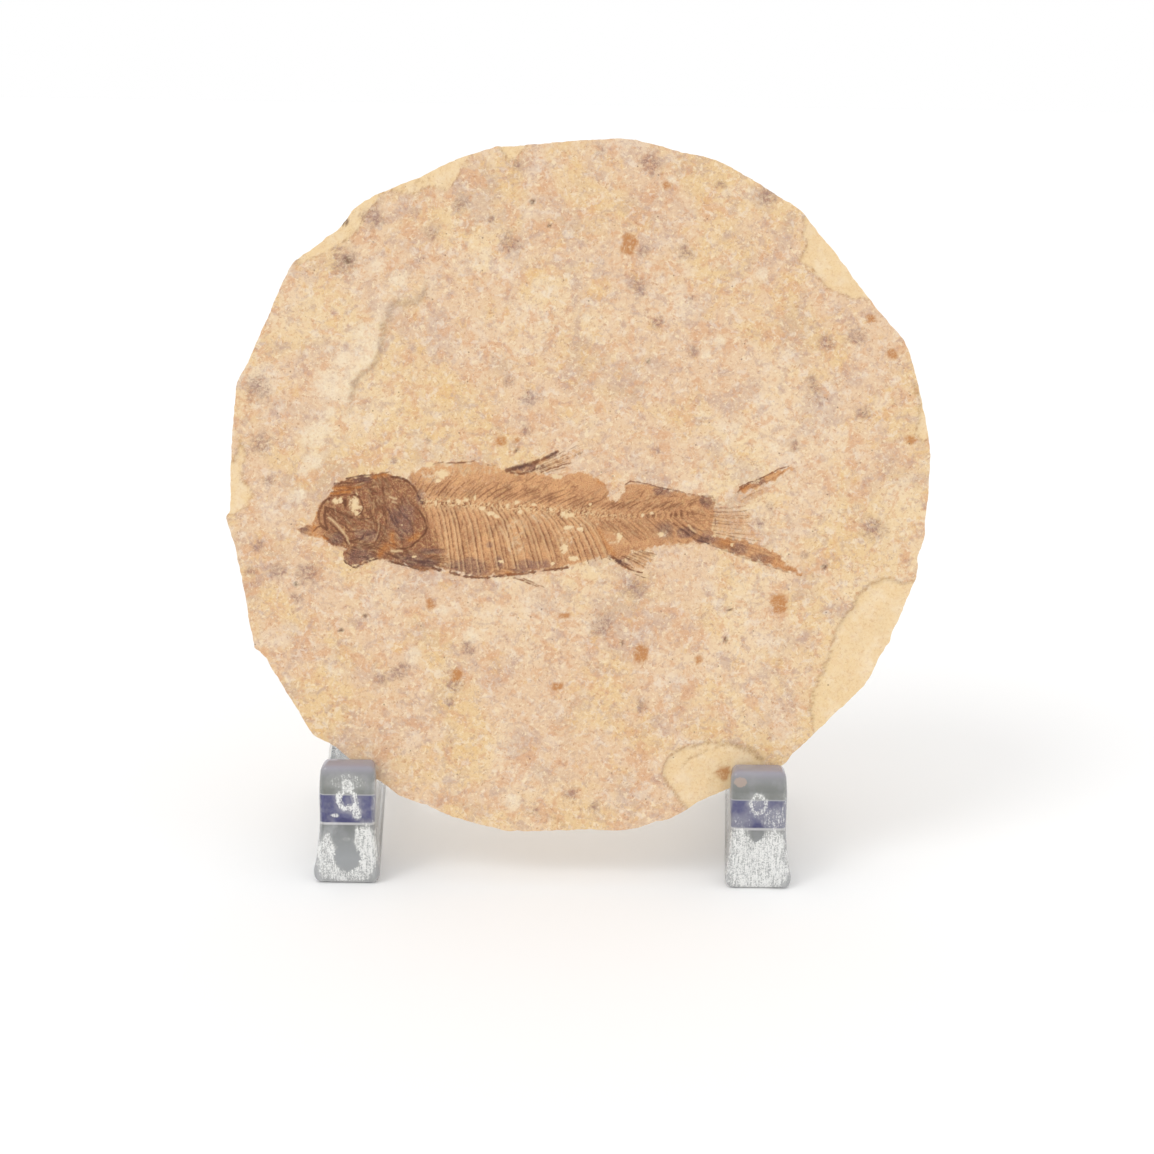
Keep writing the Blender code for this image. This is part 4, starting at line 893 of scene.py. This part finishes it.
def makeFoot(name, inner, outward):
    look = footLook
    half = (look["width"] + look["flare"]) / 2
    middle = inner + outward * half
    seat = seatBelow(middle - half, middle + half) - look["slotGap"]
    bm = bmesh.new()
    outline = [bm.verts.new((middle - half, y, z)) for y, z in footProfile(seat)]
    loop = [bm.edges.new((outline[i - 1], outline[i])) for i in range(len(outline))]
    side = bmesh.ops.edgenet_fill(bm, edges=loop)["faces"]
    grown = bmesh.ops.extrude_face_region(bm, geom=side)["geom"]
    moved = [item for item in grown if isinstance(item, bmesh.types.BMVert)]
    bmesh.ops.translate(bm, vec=(2 * half, 0, 0), verts=moved)
    bmesh.ops.recalc_face_normals(bm, faces=bm.faces)
    sharp = [edge for edge in bm.edges if edge.calc_face_angle_signed() > math.radians(30)]
    bmesh.ops.bevel(bm, geom=sharp, offset=look["rounding"], offset_type="OFFSET", segments=4,
                    profile=0.5, affect="EDGES", material=-1, clamp_overlap=True)
    for level in look["levels"]:
        everything = bm.verts[:] + bm.edges[:] + bm.faces[:]
        bmesh.ops.bisect_plane(bm, geom=everything, dist=0.001,
                               plane_co=(0, 0, level), plane_no=(0, 0, 1))
    for vert in bm.verts:
        x, y, height = vert.co
        if (x - middle) * outward > 0:
            x -= outward * look["flare"] * min(height / look["lipTop"], 1)
            x -= outward * look["shoulderInset"] * float(ease(height, *look["shoulder"]))
        else:
            share = (y - look["front"]) / (look["back"] - look["front"])
            x += outward * look["taper"] * share
        away = 1 if x > middle else -1
        heel = math.exp(-((height - look["heelHeight"]) / look["heelSpread"]) ** 2)
        wave = math.sin(height / look["waveLength"]) * min(height / 5, 1)
        vert.co.x = x + away * (look["heel"] * heel + look["wave"] * wave)
    bmesh.ops.recalc_face_normals(bm, faces=bm.faces)
    foot = addPiece(name, bm)
    foot.data.transform(Matrix.Scale(mm, 4))
    foot.data.shade_smooth()
    foot.data.set_sharp_from_angle(angle=math.radians(40))
    return foot


# Materials

class NodeMaker:  # short ways to add nodes to one material
    def __init__(self, name):
        self.material = bpy.data.materials.new(name)
        self.material.use_nodes = True
        self.tree = self.material.node_tree
        self.shader = self.tree.nodes["Principled BSDF"]

    def plug(self, value, socket):
        if isinstance(value, bpy.types.NodeSocket):
            self.tree.links.new(value, socket)
        else:
            socket.default_value = value

    def fill(self, node, inputs):
        for key, value in inputs.items():
            self.plug(value, node.inputs[key.replace("_", " ")])
        return node

    def add(self, kind, settings=None, **inputs):
        node = self.tree.nodes.new(kind)
        for key, value in (settings or {}).items():
            setattr(node, key, value)
        return self.fill(node, inputs)

    def math(self, operation, first, second=0.0):
        node = self.add("ShaderNodeMath", {"operation": operation})
        self.plug(first, node.inputs[0])
        self.plug(second, node.inputs[1])
        return node.outputs[0]

    def times(self, first, second):
        return self.math("MULTIPLY", first, second)

    def plus(self, first, second):
        return self.math("ADD", first, second)

    def minus(self, first, second):
        return self.math("SUBTRACT", first, second)

    def mix(self, share, first, second):
        return self.add("ShaderNodeMix", {"data_type": "RGBA"},
                        Factor=share, A=first, B=second).outputs["Result"]

    def tint(self, colour, share, strength, tone):  # some of a tone laid over a colour
        return self.mix(self.times(share, strength), colour, tone)

    def ramp(self, value, low, high):  # 0 below low, 1 above high
        return self.add("ShaderNodeMapRange", {"interpolation_type": "SMOOTHSTEP"},
                        Value=value, From_Min=low, From_Max=high).outputs["Result"]

    def noise(self, vector, scale, detail=3.0, rough=0.6, distortion=0.0):
        return self.add("ShaderNodeTexNoise", Vector=vector, Scale=scale, Detail=detail,
                        Roughness=rough, Distortion=distortion).outputs["Fac"]

    def attribute(self, name):
        return self.add("ShaderNodeAttribute", {"attribute_name": name}).outputs["Fac"]

    def mapping(self, vector, **settings):  # a place moved, turned or stretched
        return self.add("ShaderNodeMapping", Vector=vector, **settings).outputs["Vector"]

    def bump(self, height, depth):
        return self.add("ShaderNodeBump", Strength=0.35, Distance=depth,
                        Height=height).outputs["Normal"]

    def finish(self, **sockets):  # what goes into the shader
        self.fill(self.shader, sockets)
        return self.material


stoneTones = {
    "base": toneOf(233, 200, 165), "warm": toneOf(236, 203, 152), "blush": toneOf(222, 172, 132),
    "cream": toneOf(248, 226, 190), "milk": toneOf(245, 231, 212), "mauve": toneOf(188, 158, 148),
    "ochre": toneOf(234, 192, 130), "rust": toneOf(184, 130, 96), "flake": toneOf(243, 214, 166),
    "crack": toneOf(172, 128, 84), "orange": toneOf(192, 128, 70), "speck": toneOf(112, 82, 64),
    "side": toneOf(226, 200, 158), "violet": toneOf(146, 110, 104), "chalkAndHighlight": toneOf(248, 232, 204),
    # the chalk tone is for whitish patches and for a painted highlight on the scar; the shade tone
    # is painted shade beside the scar
    "shade": toneOf(176, 150, 128),
}
stoneLayers = [  # tone, size in marks per millimetre, where it starts and is full, strength
    ("warm", 0.05, 0.45, 0.60, 0.9),
    ("cream", 0.03, 0.48, 0.64, 0.4),
    ("mauve", 0.10, 0.50, 0.66, 0.45),
    ("milk", 0.15, 0.52, 0.68, 0.35),
    ("blush", 0.28, 0.51, 0.64, 0.7),
    ("ochre", 0.24, 0.57, 0.68, 0.5),
    ("mauve", 0.42, 0.52, 0.66, 0.45),
    ("milk", 0.50, 0.54, 0.66, 0.5),
    ("blush", 0.80, 0.55, 0.66, 0.55),
    ("mauve", 1.00, 0.55, 0.67, 0.4),
    ("cream", 1.05, 0.56, 0.66, 0.75),
    ("rust", 1.30, 0.59, 0.69, 0.5),
]


def facePlace(maker):  # Object coordinates turned into millimetres on the slab's face
    node = maker.add("ShaderNodeMapping", {"vector_type": "TEXTURE"},
                     Vector=maker.add("ShaderNodeTexCoord").outputs["Object"],
                     Location=Vector(stance["faceCentre"]) * mm,
                     Rotation=turnToFace.to_euler("XYZ"), Scale=(mm, mm, mm))
    return node.outputs["Vector"]


def stoneColour(maker, place):  # the mottled split face, the same under slab and fish
    colour = stoneTones["base"]
    for count, (tone, scale, low, high, strength) in enumerate(stoneLayers):
        moved = maker.mapping(place, Location=(17.3 * count, -9.1 * count, 5.7 * count))
        cloud = maker.noise(moved, scale, 4.0, 0.6, 0.5)
        colour = maker.tint(colour, maker.ramp(cloud, low, high), strength, stoneTones[tone])
    return colour


def grainOver(maker, place, colour):  # fine curly grain and small dark specks
    fine = maker.noise(place, 1.6, 4.0, 0.72, 0.9)
    colour = maker.tint(colour, maker.ramp(fine, 0.48, 0.68), 0.38, stoneTones["cream"])
    colour = maker.tint(colour, maker.ramp(fine, 0.48, 0.28), 0.34, stoneTones["rust"])
    for scale, size, chosen in ((0.42, 0.10, 0.62), (1.1, 0.13, 0.86)):
        cells = maker.add("ShaderNodeTexVoronoi", Vector=place, Scale=scale)
        dot = maker.ramp(cells.outputs["Distance"], size, size * 0.4)
        pick = maker.add("ShaderNodeSeparateColor", Color=cells.outputs["Color"]).outputs["Red"]
        speck = maker.times(dot, maker.ramp(pick, chosen, chosen + 0.05))
        colour = maker.tint(colour, speck, 0.6, stoneTones["speck"])
    return colour, fine


def stoneBump(maker, place, fine):
    rough = maker.noise(place, 0.9, 5.0, 0.65)
    return maker.bump(maker.plus(maker.times(rough, 0.6), maker.times(fine, 0.4)), 0.00016)


def slabMaterial():
    maker = NodeMaker("splitLimestone")
    tones = stoneTones
    place = facePlace(maker)
    colour = stoneColour(maker, place)
    dendrite = maker.noise(place, 1.1, 6.0, 0.75, 0.6)

    # Chipped places show fresh yellow stone
    fresh = maker.mix(maker.ramp(maker.noise(place, 0.3, 5.0, 0.65), 0.45, 0.7),
                      tones["flake"], tones["cream"])
    fresh = maker.tint(fresh, maker.ramp(dendrite, 0.5, 0.7), 0.4, tones["blush"])
    colour = maker.tint(colour, maker.attribute("flake"), 0.85, fresh)

    # The other marks, each broken up by the branching noise
    # Whitish patches, and the scar's pale band, which is partly a painted highlight
    pale = maker.math("MAXIMUM", maker.attribute("pale"), maker.attribute("scarPaleLit"))
    veins = maker.plus(maker.times(maker.ramp(dendrite, 0.4, 0.6), 0.7), 0.3)
    for mark, broken, strength, tone in (
            (pale, maker.ramp(dendrite, 0.3, 0.55), 0.65, "chalkAndHighlight"),
            (maker.attribute("mauve"), veins, 0.75, "violet"),
            (maker.attribute("orange"), maker.ramp(dendrite, 0.26, 0.5), 0.85, "orange"),
            (maker.attribute("crack"), maker.ramp(dendrite, 0.36, 0.6), 0.75, "crack")):
        colour = maker.tint(colour, maker.times(mark, broken), strength, tones[tone])
    # Painted shade on the steep side of the scar
    colour = maker.tint(colour, maker.attribute("scarShade"), 0.5, tones["shade"])
    colour = maker.tint(colour, maker.attribute("tick"), 0.9, tones["speck"])
    colour, fine = grainOver(maker, place, colour)

    # Sides and back are plainer, with thin beds running round the rim
    split = maker.add("ShaderNodeSeparateXYZ", Vector=place)
    beds = maker.add("ShaderNodeTexNoise", {"noise_dimensions": "1D"}, W=split.outputs["Z"],
                     Scale=1.3, Detail=4.0, Roughness=0.7).outputs["Fac"]
    side = maker.mix(maker.ramp(beds, 0.4, 0.62), tones["side"], tones["ochre"])
    side = maker.tint(side, maker.ramp(fine, 0.35, 0.65), 0.4, tones["cream"])
    side = maker.tint(side, maker.ramp(dendrite, 0.5, 0.7), 0.35, tones["rust"])
    colour = maker.tint(colour, maker.minus(1.0, maker.attribute("front")), 0.8, side)
    return maker.finish(Base_Color=colour, Normal=stoneBump(maker, place, fine),
                        Roughness=0.86, Specular_IOR_Level=0.25)


fishTones = {
    "skin": toneOf(220, 163, 114), "deepSkin": toneOf(148, 92, 64), "yellow": toneOf(230, 186, 126),
    "bloom": toneOf(196, 140, 100), "mauve": toneOf(134, 96, 86), "glow": toneOf(200, 126, 56),
    "darkGrit": toneOf(150, 94, 60), "paleGrit": toneOf(238, 200, 150),
    "bone": toneOf(140, 90, 58), "deepBone": toneOf(104, 60, 36), "mauveBone": toneOf(92, 60, 52),
    "glowBone": toneOf(146, 78, 30), "bare": toneOf(242, 214, 166),
}


def fishMaterial():
    maker = NodeMaker("fossilBone")
    tones = fishTones
    place = facePlace(maker)
    mottle = maker.noise(place, 1.4, 5.0, 0.7, 0.4)
    grit = maker.noise(place, 4.2, 3.0, 0.7)
    deep, mauve, glow = (maker.attribute(name) for name in ("deep", "mauve", "glow"))
    stone, fine = grainOver(maker, place, stoneColour(maker, place))

    bloom = maker.times(maker.ramp(maker.noise(place, 0.35, 4.0, 0.65), 0.45, 0.65), 0.55)
    film = maker.mix(deep, tones["skin"], tones["deepSkin"])
    for mark, strength, tone in (
            (maker.ramp(mottle, 0.46, 0.66), 0.5, "yellow"),
            (bloom, maker.minus(1.0, deep), "bloom"),
            (mauve, 0.85, "mauve"),
            (glow, 0.85, "glow"),
            (maker.ramp(grit, 0.5, 0.34), 0.45, "darkGrit"),
            (maker.ramp(grit, 0.5, 0.68), 0.4, "paleGrit")):
        film = maker.tint(film, mark, strength, tones[tone])
    worn = maker.times(maker.minus(mottle, 0.5), 1.4)
    cover = maker.ramp(maker.plus(maker.attribute("film"), worn), 0.0, 0.75)
    colour = maker.mix(cover, stone, film)

    bone = maker.mix(deep, tones["bone"], tones["deepBone"])
    bone = maker.mix(mauve, bone, tones["mauveBone"])
    bone = maker.tint(bone, glow, 0.6, tones["glowBone"])
    lines = maker.times(maker.attribute("bone"), maker.ramp(mottle, 0.2, 0.5))
    colour = maker.tint(colour, maker.ramp(lines, 0.08, 0.85), 0.92, bone)
    # Bare stone and pale marks, with the painted highlight beside each rib
    colour = maker.tint(colour, maker.attribute("bare"), 0.75, tones["bare"])
    return maker.finish(Base_Color=colour, Normal=stoneBump(maker, place, fine),
                        Roughness=0.72, Specular_IOR_Level=0.35)


# The grey edge tone serves random mottle and painted refraction at the sides of the front face; the
# white tone is for crackle that is partly scuffs and partly painted glint; the tan tone is the slab
# painted as seen through the clear lip
acrylicLook = {
    "clear": toneOf(252, 254, 255), "edge": toneOf(186, 186, 190), "scuffGlint": toneOf(255, 255, 252),
    "haze": toneOf(206, 206, 203), "paintedSlabView": toneOf(204, 182, 168),
    "frontBlock": (-13.0, -22.5),    # its painted tones fade in between these, toward the front
    "frontFace": (-24.8, -25.6),     # and the scuffs between these
    "ladderTop": 25.0, "blockTop": (25.6, 25.2),
    "middles": (-45.0, 36.7),        # of the left and the right front face
    "edgeFrom": (5.2, 5.6),          # across from there
    "frontPasses": 0.2, "restPasses": 0.93,    # how much light goes through
    "scuffEdges": {"field": (1.25, 0.6), "ring": (0.5, 0.15), "paintedSlabView": (1.1, 0.85),
                   "clear": (0.85, 1.1)},      # where each kind of mark starts and is full
}
paintedFrontTones = [  # height above the floor, then the tone there: painted reflection, refraction and shade of what shows through the front block (floor glitter, the blue band, the slab's shaded rim), with bright painted edge lines
    (0.0, toneOf(196, 197, 196)), (1.4, toneOf(176, 178, 178)), (5.5, toneOf(176, 179, 181)),
    (9.0, toneOf(164, 167, 167)), (12.6, toneOf(136, 139, 137)), (12.8, toneOf(220, 218, 218)),
    (13.1, toneOf(212, 210, 212)), (13.25, toneOf(74, 75, 122)), (18.9, toneOf(80, 81, 124)),
    (19.0, toneOf(180, 180, 186)), (19.12, toneOf(180, 180, 182)), (19.22, toneOf(126, 129, 124)),
    (22.0, toneOf(146, 148, 145)), (23.6, toneOf(162, 162, 165)), (24.8, toneOf(178, 173, 184)),
]


def scuffField(maker, place, colour, middle, scuffs):  # where scuffs and painted glint lie, and the tan mark, a painted view of the slab through the clear lip
    across, _, up = (maker.add("ShaderNodeSeparateXYZ", Vector=place).outputs[a] for a in "XYZ")
    warp = maker.times(maker.minus(maker.noise(place, 0.9, 4.0, 0.7), 0.5), 1.3)
    field = 0.0
    for kind, dx, z, wide, tall, strength in scuffs:
        offX = maker.math("DIVIDE", maker.minus(across, middle + dx), wide)
        offZ = maker.math("DIVIDE", maker.minus(up, z), tall)
        reach = maker.math("SQRT", maker.plus(maker.times(offX, offX), maker.times(offZ, offZ)))
        reach = maker.plus(reach, maker.math("DIVIDE", warp, max(wide, 1.0) ** 0.5))
        if kind == "ring":
            reach = maker.math("ABSOLUTE", maker.minus(reach, 1.0))
        mark = maker.ramp(reach, *acrylicLook["scuffEdges"][kind])
        if kind == "clear":
            field = maker.times(field, mark)
        elif kind == "paintedSlabView":
            # Painted view of the slab seen through the clear lip
            colour = maker.tint(colour, mark, strength, acrylicLook["paintedSlabView"])
        else:
            field = maker.math("MAXIMUM", field, maker.times(mark, strength))
    return field, colour


def acrylicMaterial(name, middle, scuffs):
    maker = NodeMaker(name)
    look = acrylicLook
    place = maker.mapping(maker.add("ShaderNodeTexCoord").outputs["Object"],
                          Scale=(1000, 1000, 1000))
    split = maker.add("ShaderNodeSeparateXYZ", Vector=place)
    across, back, up = (split.outputs[axis] for axis in "XYZ")
    soft = maker.noise(place, 0.3, 3.0, 0.6)

    # The front block's tones run in level bands, painted reflection, refraction and shade of what
    # shows through it; the rest is plain clear acrylic
    ladder = maker.add("ShaderNodeValToRGB", Fac=maker.math("DIVIDE", up, look["ladderTop"]))
    steps = ladder.color_ramp.elements
    steps[0].color, steps[1].color = paintedFrontTones[0][1], paintedFrontTones[-1][1]
    for height, tone in paintedFrontTones[1:]:
        steps.new(height / look["ladderTop"]).color = tone
    front = maker.times(maker.ramp(back, *look["frontBlock"]), maker.ramp(up, *look["blockTop"]))
    off = maker.math("ABSOLUTE", maker.minus(across, middle))
    colour = ladder.outputs["Color"]
    # Painted refraction: the sides of the front face drawn toward grey
    colour = maker.tint(colour, maker.ramp(off, *look["edgeFrom"]), 0.45, look["edge"])
    colour = maker.tint(colour, maker.ramp(soft, 0.42, 0.68), 0.3, look["edge"])
    colour = maker.mix(front, look["clear"], colour)

    # White crackle on the front face, in rings and fields: partly scuffs, partly painted glint
    field, colour = scuffField(maker, place, colour, middle, scuffs)
    crackle = maker.noise(place, 3.6, 4.0, 0.75, 0.5)
    streaks = maker.noise(maker.mapping(place, Scale=(2.8, 1.0, 0.3)), 1.2, 5.0, 0.75, 0.4)
    onFace = maker.ramp(back, *look["frontFace"])
    broken = maker.plus(maker.times(crackle, 0.55), maker.times(streaks, 0.45))
    spread = maker.plus(broken, maker.times(maker.minus(field, 1.0), 0.22))
    scuffAndGlint = maker.times(maker.ramp(spread, 0.42, 0.54), maker.ramp(field, 0.02, 0.2))
    scuffAndGlint = maker.times(scuffAndGlint, onFace)
    colour = maker.tint(colour, maker.times(field, 0.5), onFace, look["haze"])
    # White crackle: partly scuffed surface, partly painted glint
    colour = maker.tint(colour, scuffAndGlint, 0.85, look["scuffGlint"])
    passes = maker.minus(look["restPasses"],
                         maker.times(front, look["restPasses"] - look["frontPasses"]))
    height = maker.plus(soft, maker.times(maker.times(field, crackle), 0.5))
    return maker.finish(Base_Color=colour, Normal=maker.bump(height, 0.0004), IOR=1.49,
                        Roughness=maker.plus(maker.times(scuffAndGlint, 0.5), 0.07),
                        Transmission_Weight=maker.times(passes, maker.minus(1.0, scuffAndGlint)))


# kind, millimetres across from the foot's middle, height, half width, half height, strength
leftScuffs = [
    ("field", 0.2, 21.9, 4.4, 1.9, 0.6), ("ring", 0.1, 18, 1.8, 1.9, 1),
    ("field", 0.2, 17.9, 2.9, 3.2, 0.6), ("field", 0.2, 21, 1.7, 1.7, 1),
    ("field", -2.4, 14.7, 0.9, 0.5, 0.9), ("field", 2, 15.4, 1.1, 1.8, 0.95),
    ("clear", 0, 18, 0.95, 1, 1), ("field", -5.7, 10, 0.7, 14, 0.55),
    ("field", 5.5, 12, 0.8, 12, 0.55), ("field", -4.2, 5.6, 2.6, 5.8, 0.95),
    ("field", 3.8, 7.4, 2.8, 6.4, 1), ("field", 0, 2.4, 6, 2.6, 0.9),
    ("clear", -0.1, 5.8, 2.6, 3.1, 1), ("clear", -1.2, 10.6, 2.1, 2.8, 0.9),
    ("field", 1.9, 10, 0.6, 2.9, 1), ("field", -0.2, 9.6, 0.9, 0.5, 0.5),
]
rightScuffs = [
    ("field", -0.2, 17.6, 2.4, 3.2, 0.55), ("ring", -0.2, 18.2, 1.4, 1.9, 0.9),
    ("field", 3, 15.2, 3, 2.6, 0.7), ("field", 5.2, 14, 0.8, 12, 0.55),
    ("field", -3.2, 14.6, 2.6, 1.8, 0.45), ("field", 0.2, 5, 8, 7.8, 1),
    ("field", 3.2, 9.4, 2.8, 4.6, 1), ("field", -3.6, 9.6, 2.8, 4.4, 0.95),
    ("clear", -0.2, 12.2, 1.3, 2, 1), ("paintedSlabView", -3.9, 22.8, 1.4, 1, 0.8),
]


# Put the pieces in place

slab = makeSlab()
print("slab:", len(slab.data.polygons), "faces")
fish = makeFish()
print("fish:", len(fish.data.polygons), "faces")
leftInner, rightInner = footLook["innerSides"]
leftFoot = makeFoot("left_stand_foot_acrylic", leftInner, -1)
rightFoot = makeFoot("right_stand_foot_acrylic", rightInner, 1)
print("feet:", len(leftFoot.data.polygons) + len(rightFoot.data.polygons), "faces")

slab.data.materials.append(slabMaterial())
fish.data.materials.append(fishMaterial())
# Each foot's material has scuffs plus painted refraction, shade and glint on its front block
leftMiddle, rightMiddle = acrylicLook["middles"]
leftFoot.data.materials.append(acrylicMaterial("scuffedAcrylicPaintedLightLeft", leftMiddle, leftScuffs))
rightFoot.data.materials.append(acrylicMaterial("scuffedAcrylicPaintedLightRight", rightMiddle, rightScuffs))
print("materials on")

for piece, node, slotName in (
        (slab, "limestone_slab", "limestone"),
        (fish, "fossil_fish", "fossil_bone"),
        (leftFoot, "left_stand_foot", "clear_acrylic"),
        (rightFoot, "right_stand_foot", "clear_acrylic")):
    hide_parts(node)
    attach(piece, "root")


# Floor, light and camera

studio = {
    "floorSize": 16.0, "floorTone": (0.94, 0.94, 0.94, 1.0),
    "worldLight": 1.0,
    "sunFrom": (-0.55, -0.5, 0.8), "sunPower": 0.55, "sunSpread": 25.0,
    "aim": (-0.3, -18.3), "distance": 380.0, "frameWidth": 230.8,    # on the slab's face
    "sensor": 36.0,
}


def addToScene(name, data):
    item = bpy.data.objects.new(name, data)
    bpy.context.scene.collection.objects.link(item)
    return item


bm = bmesh.new()
bmesh.ops.create_grid(bm, x_segments=1, y_segments=1, size=studio["floorSize"] / 2)
floor = addPiece("floor", bm)
floor.data.materials.append(
    NodeMaker("paleFloor").finish(Base_Color=studio["floorTone"], Roughness=0.9))

world = bpy.data.worlds.new("softStudio")
bpy.context.scene.world = world
world.use_nodes = True
sky = world.node_tree.nodes["Background"].inputs
sky["Color"].default_value = (1.0, 1.0, 1.0, 1.0)
sky["Strength"].default_value = studio["worldLight"]

sunData = bpy.data.lights.new("sun", "SUN")
sunData.energy = studio["sunPower"]
sunData.angle = math.radians(studio["sunSpread"])
sun = addToScene("sun", sunData)
sun.rotation_euler = (-Vector(studio["sunFrom"])).to_track_quat("-Z", "Y").to_euler()

cameraData = bpy.data.cameras.new("camera")
cameraData.sensor_width = studio["sensor"]
cameraData.lens = studio["sensor"] * studio["distance"] / studio["frameWidth"]
cameraData.clip_start = 0.01
camera = addToScene("camera", cameraData)
eye = faceToWorld @ Vector((*studio["aim"], studio["distance"]))
camera.matrix_world = Matrix.Translation(eye) @ turnToFace
bpy.context.scene.camera = camera
bpy.context.scene.view_settings.view_transform = "Standard"
print("camera at", [round(part, 4) for part in eye])
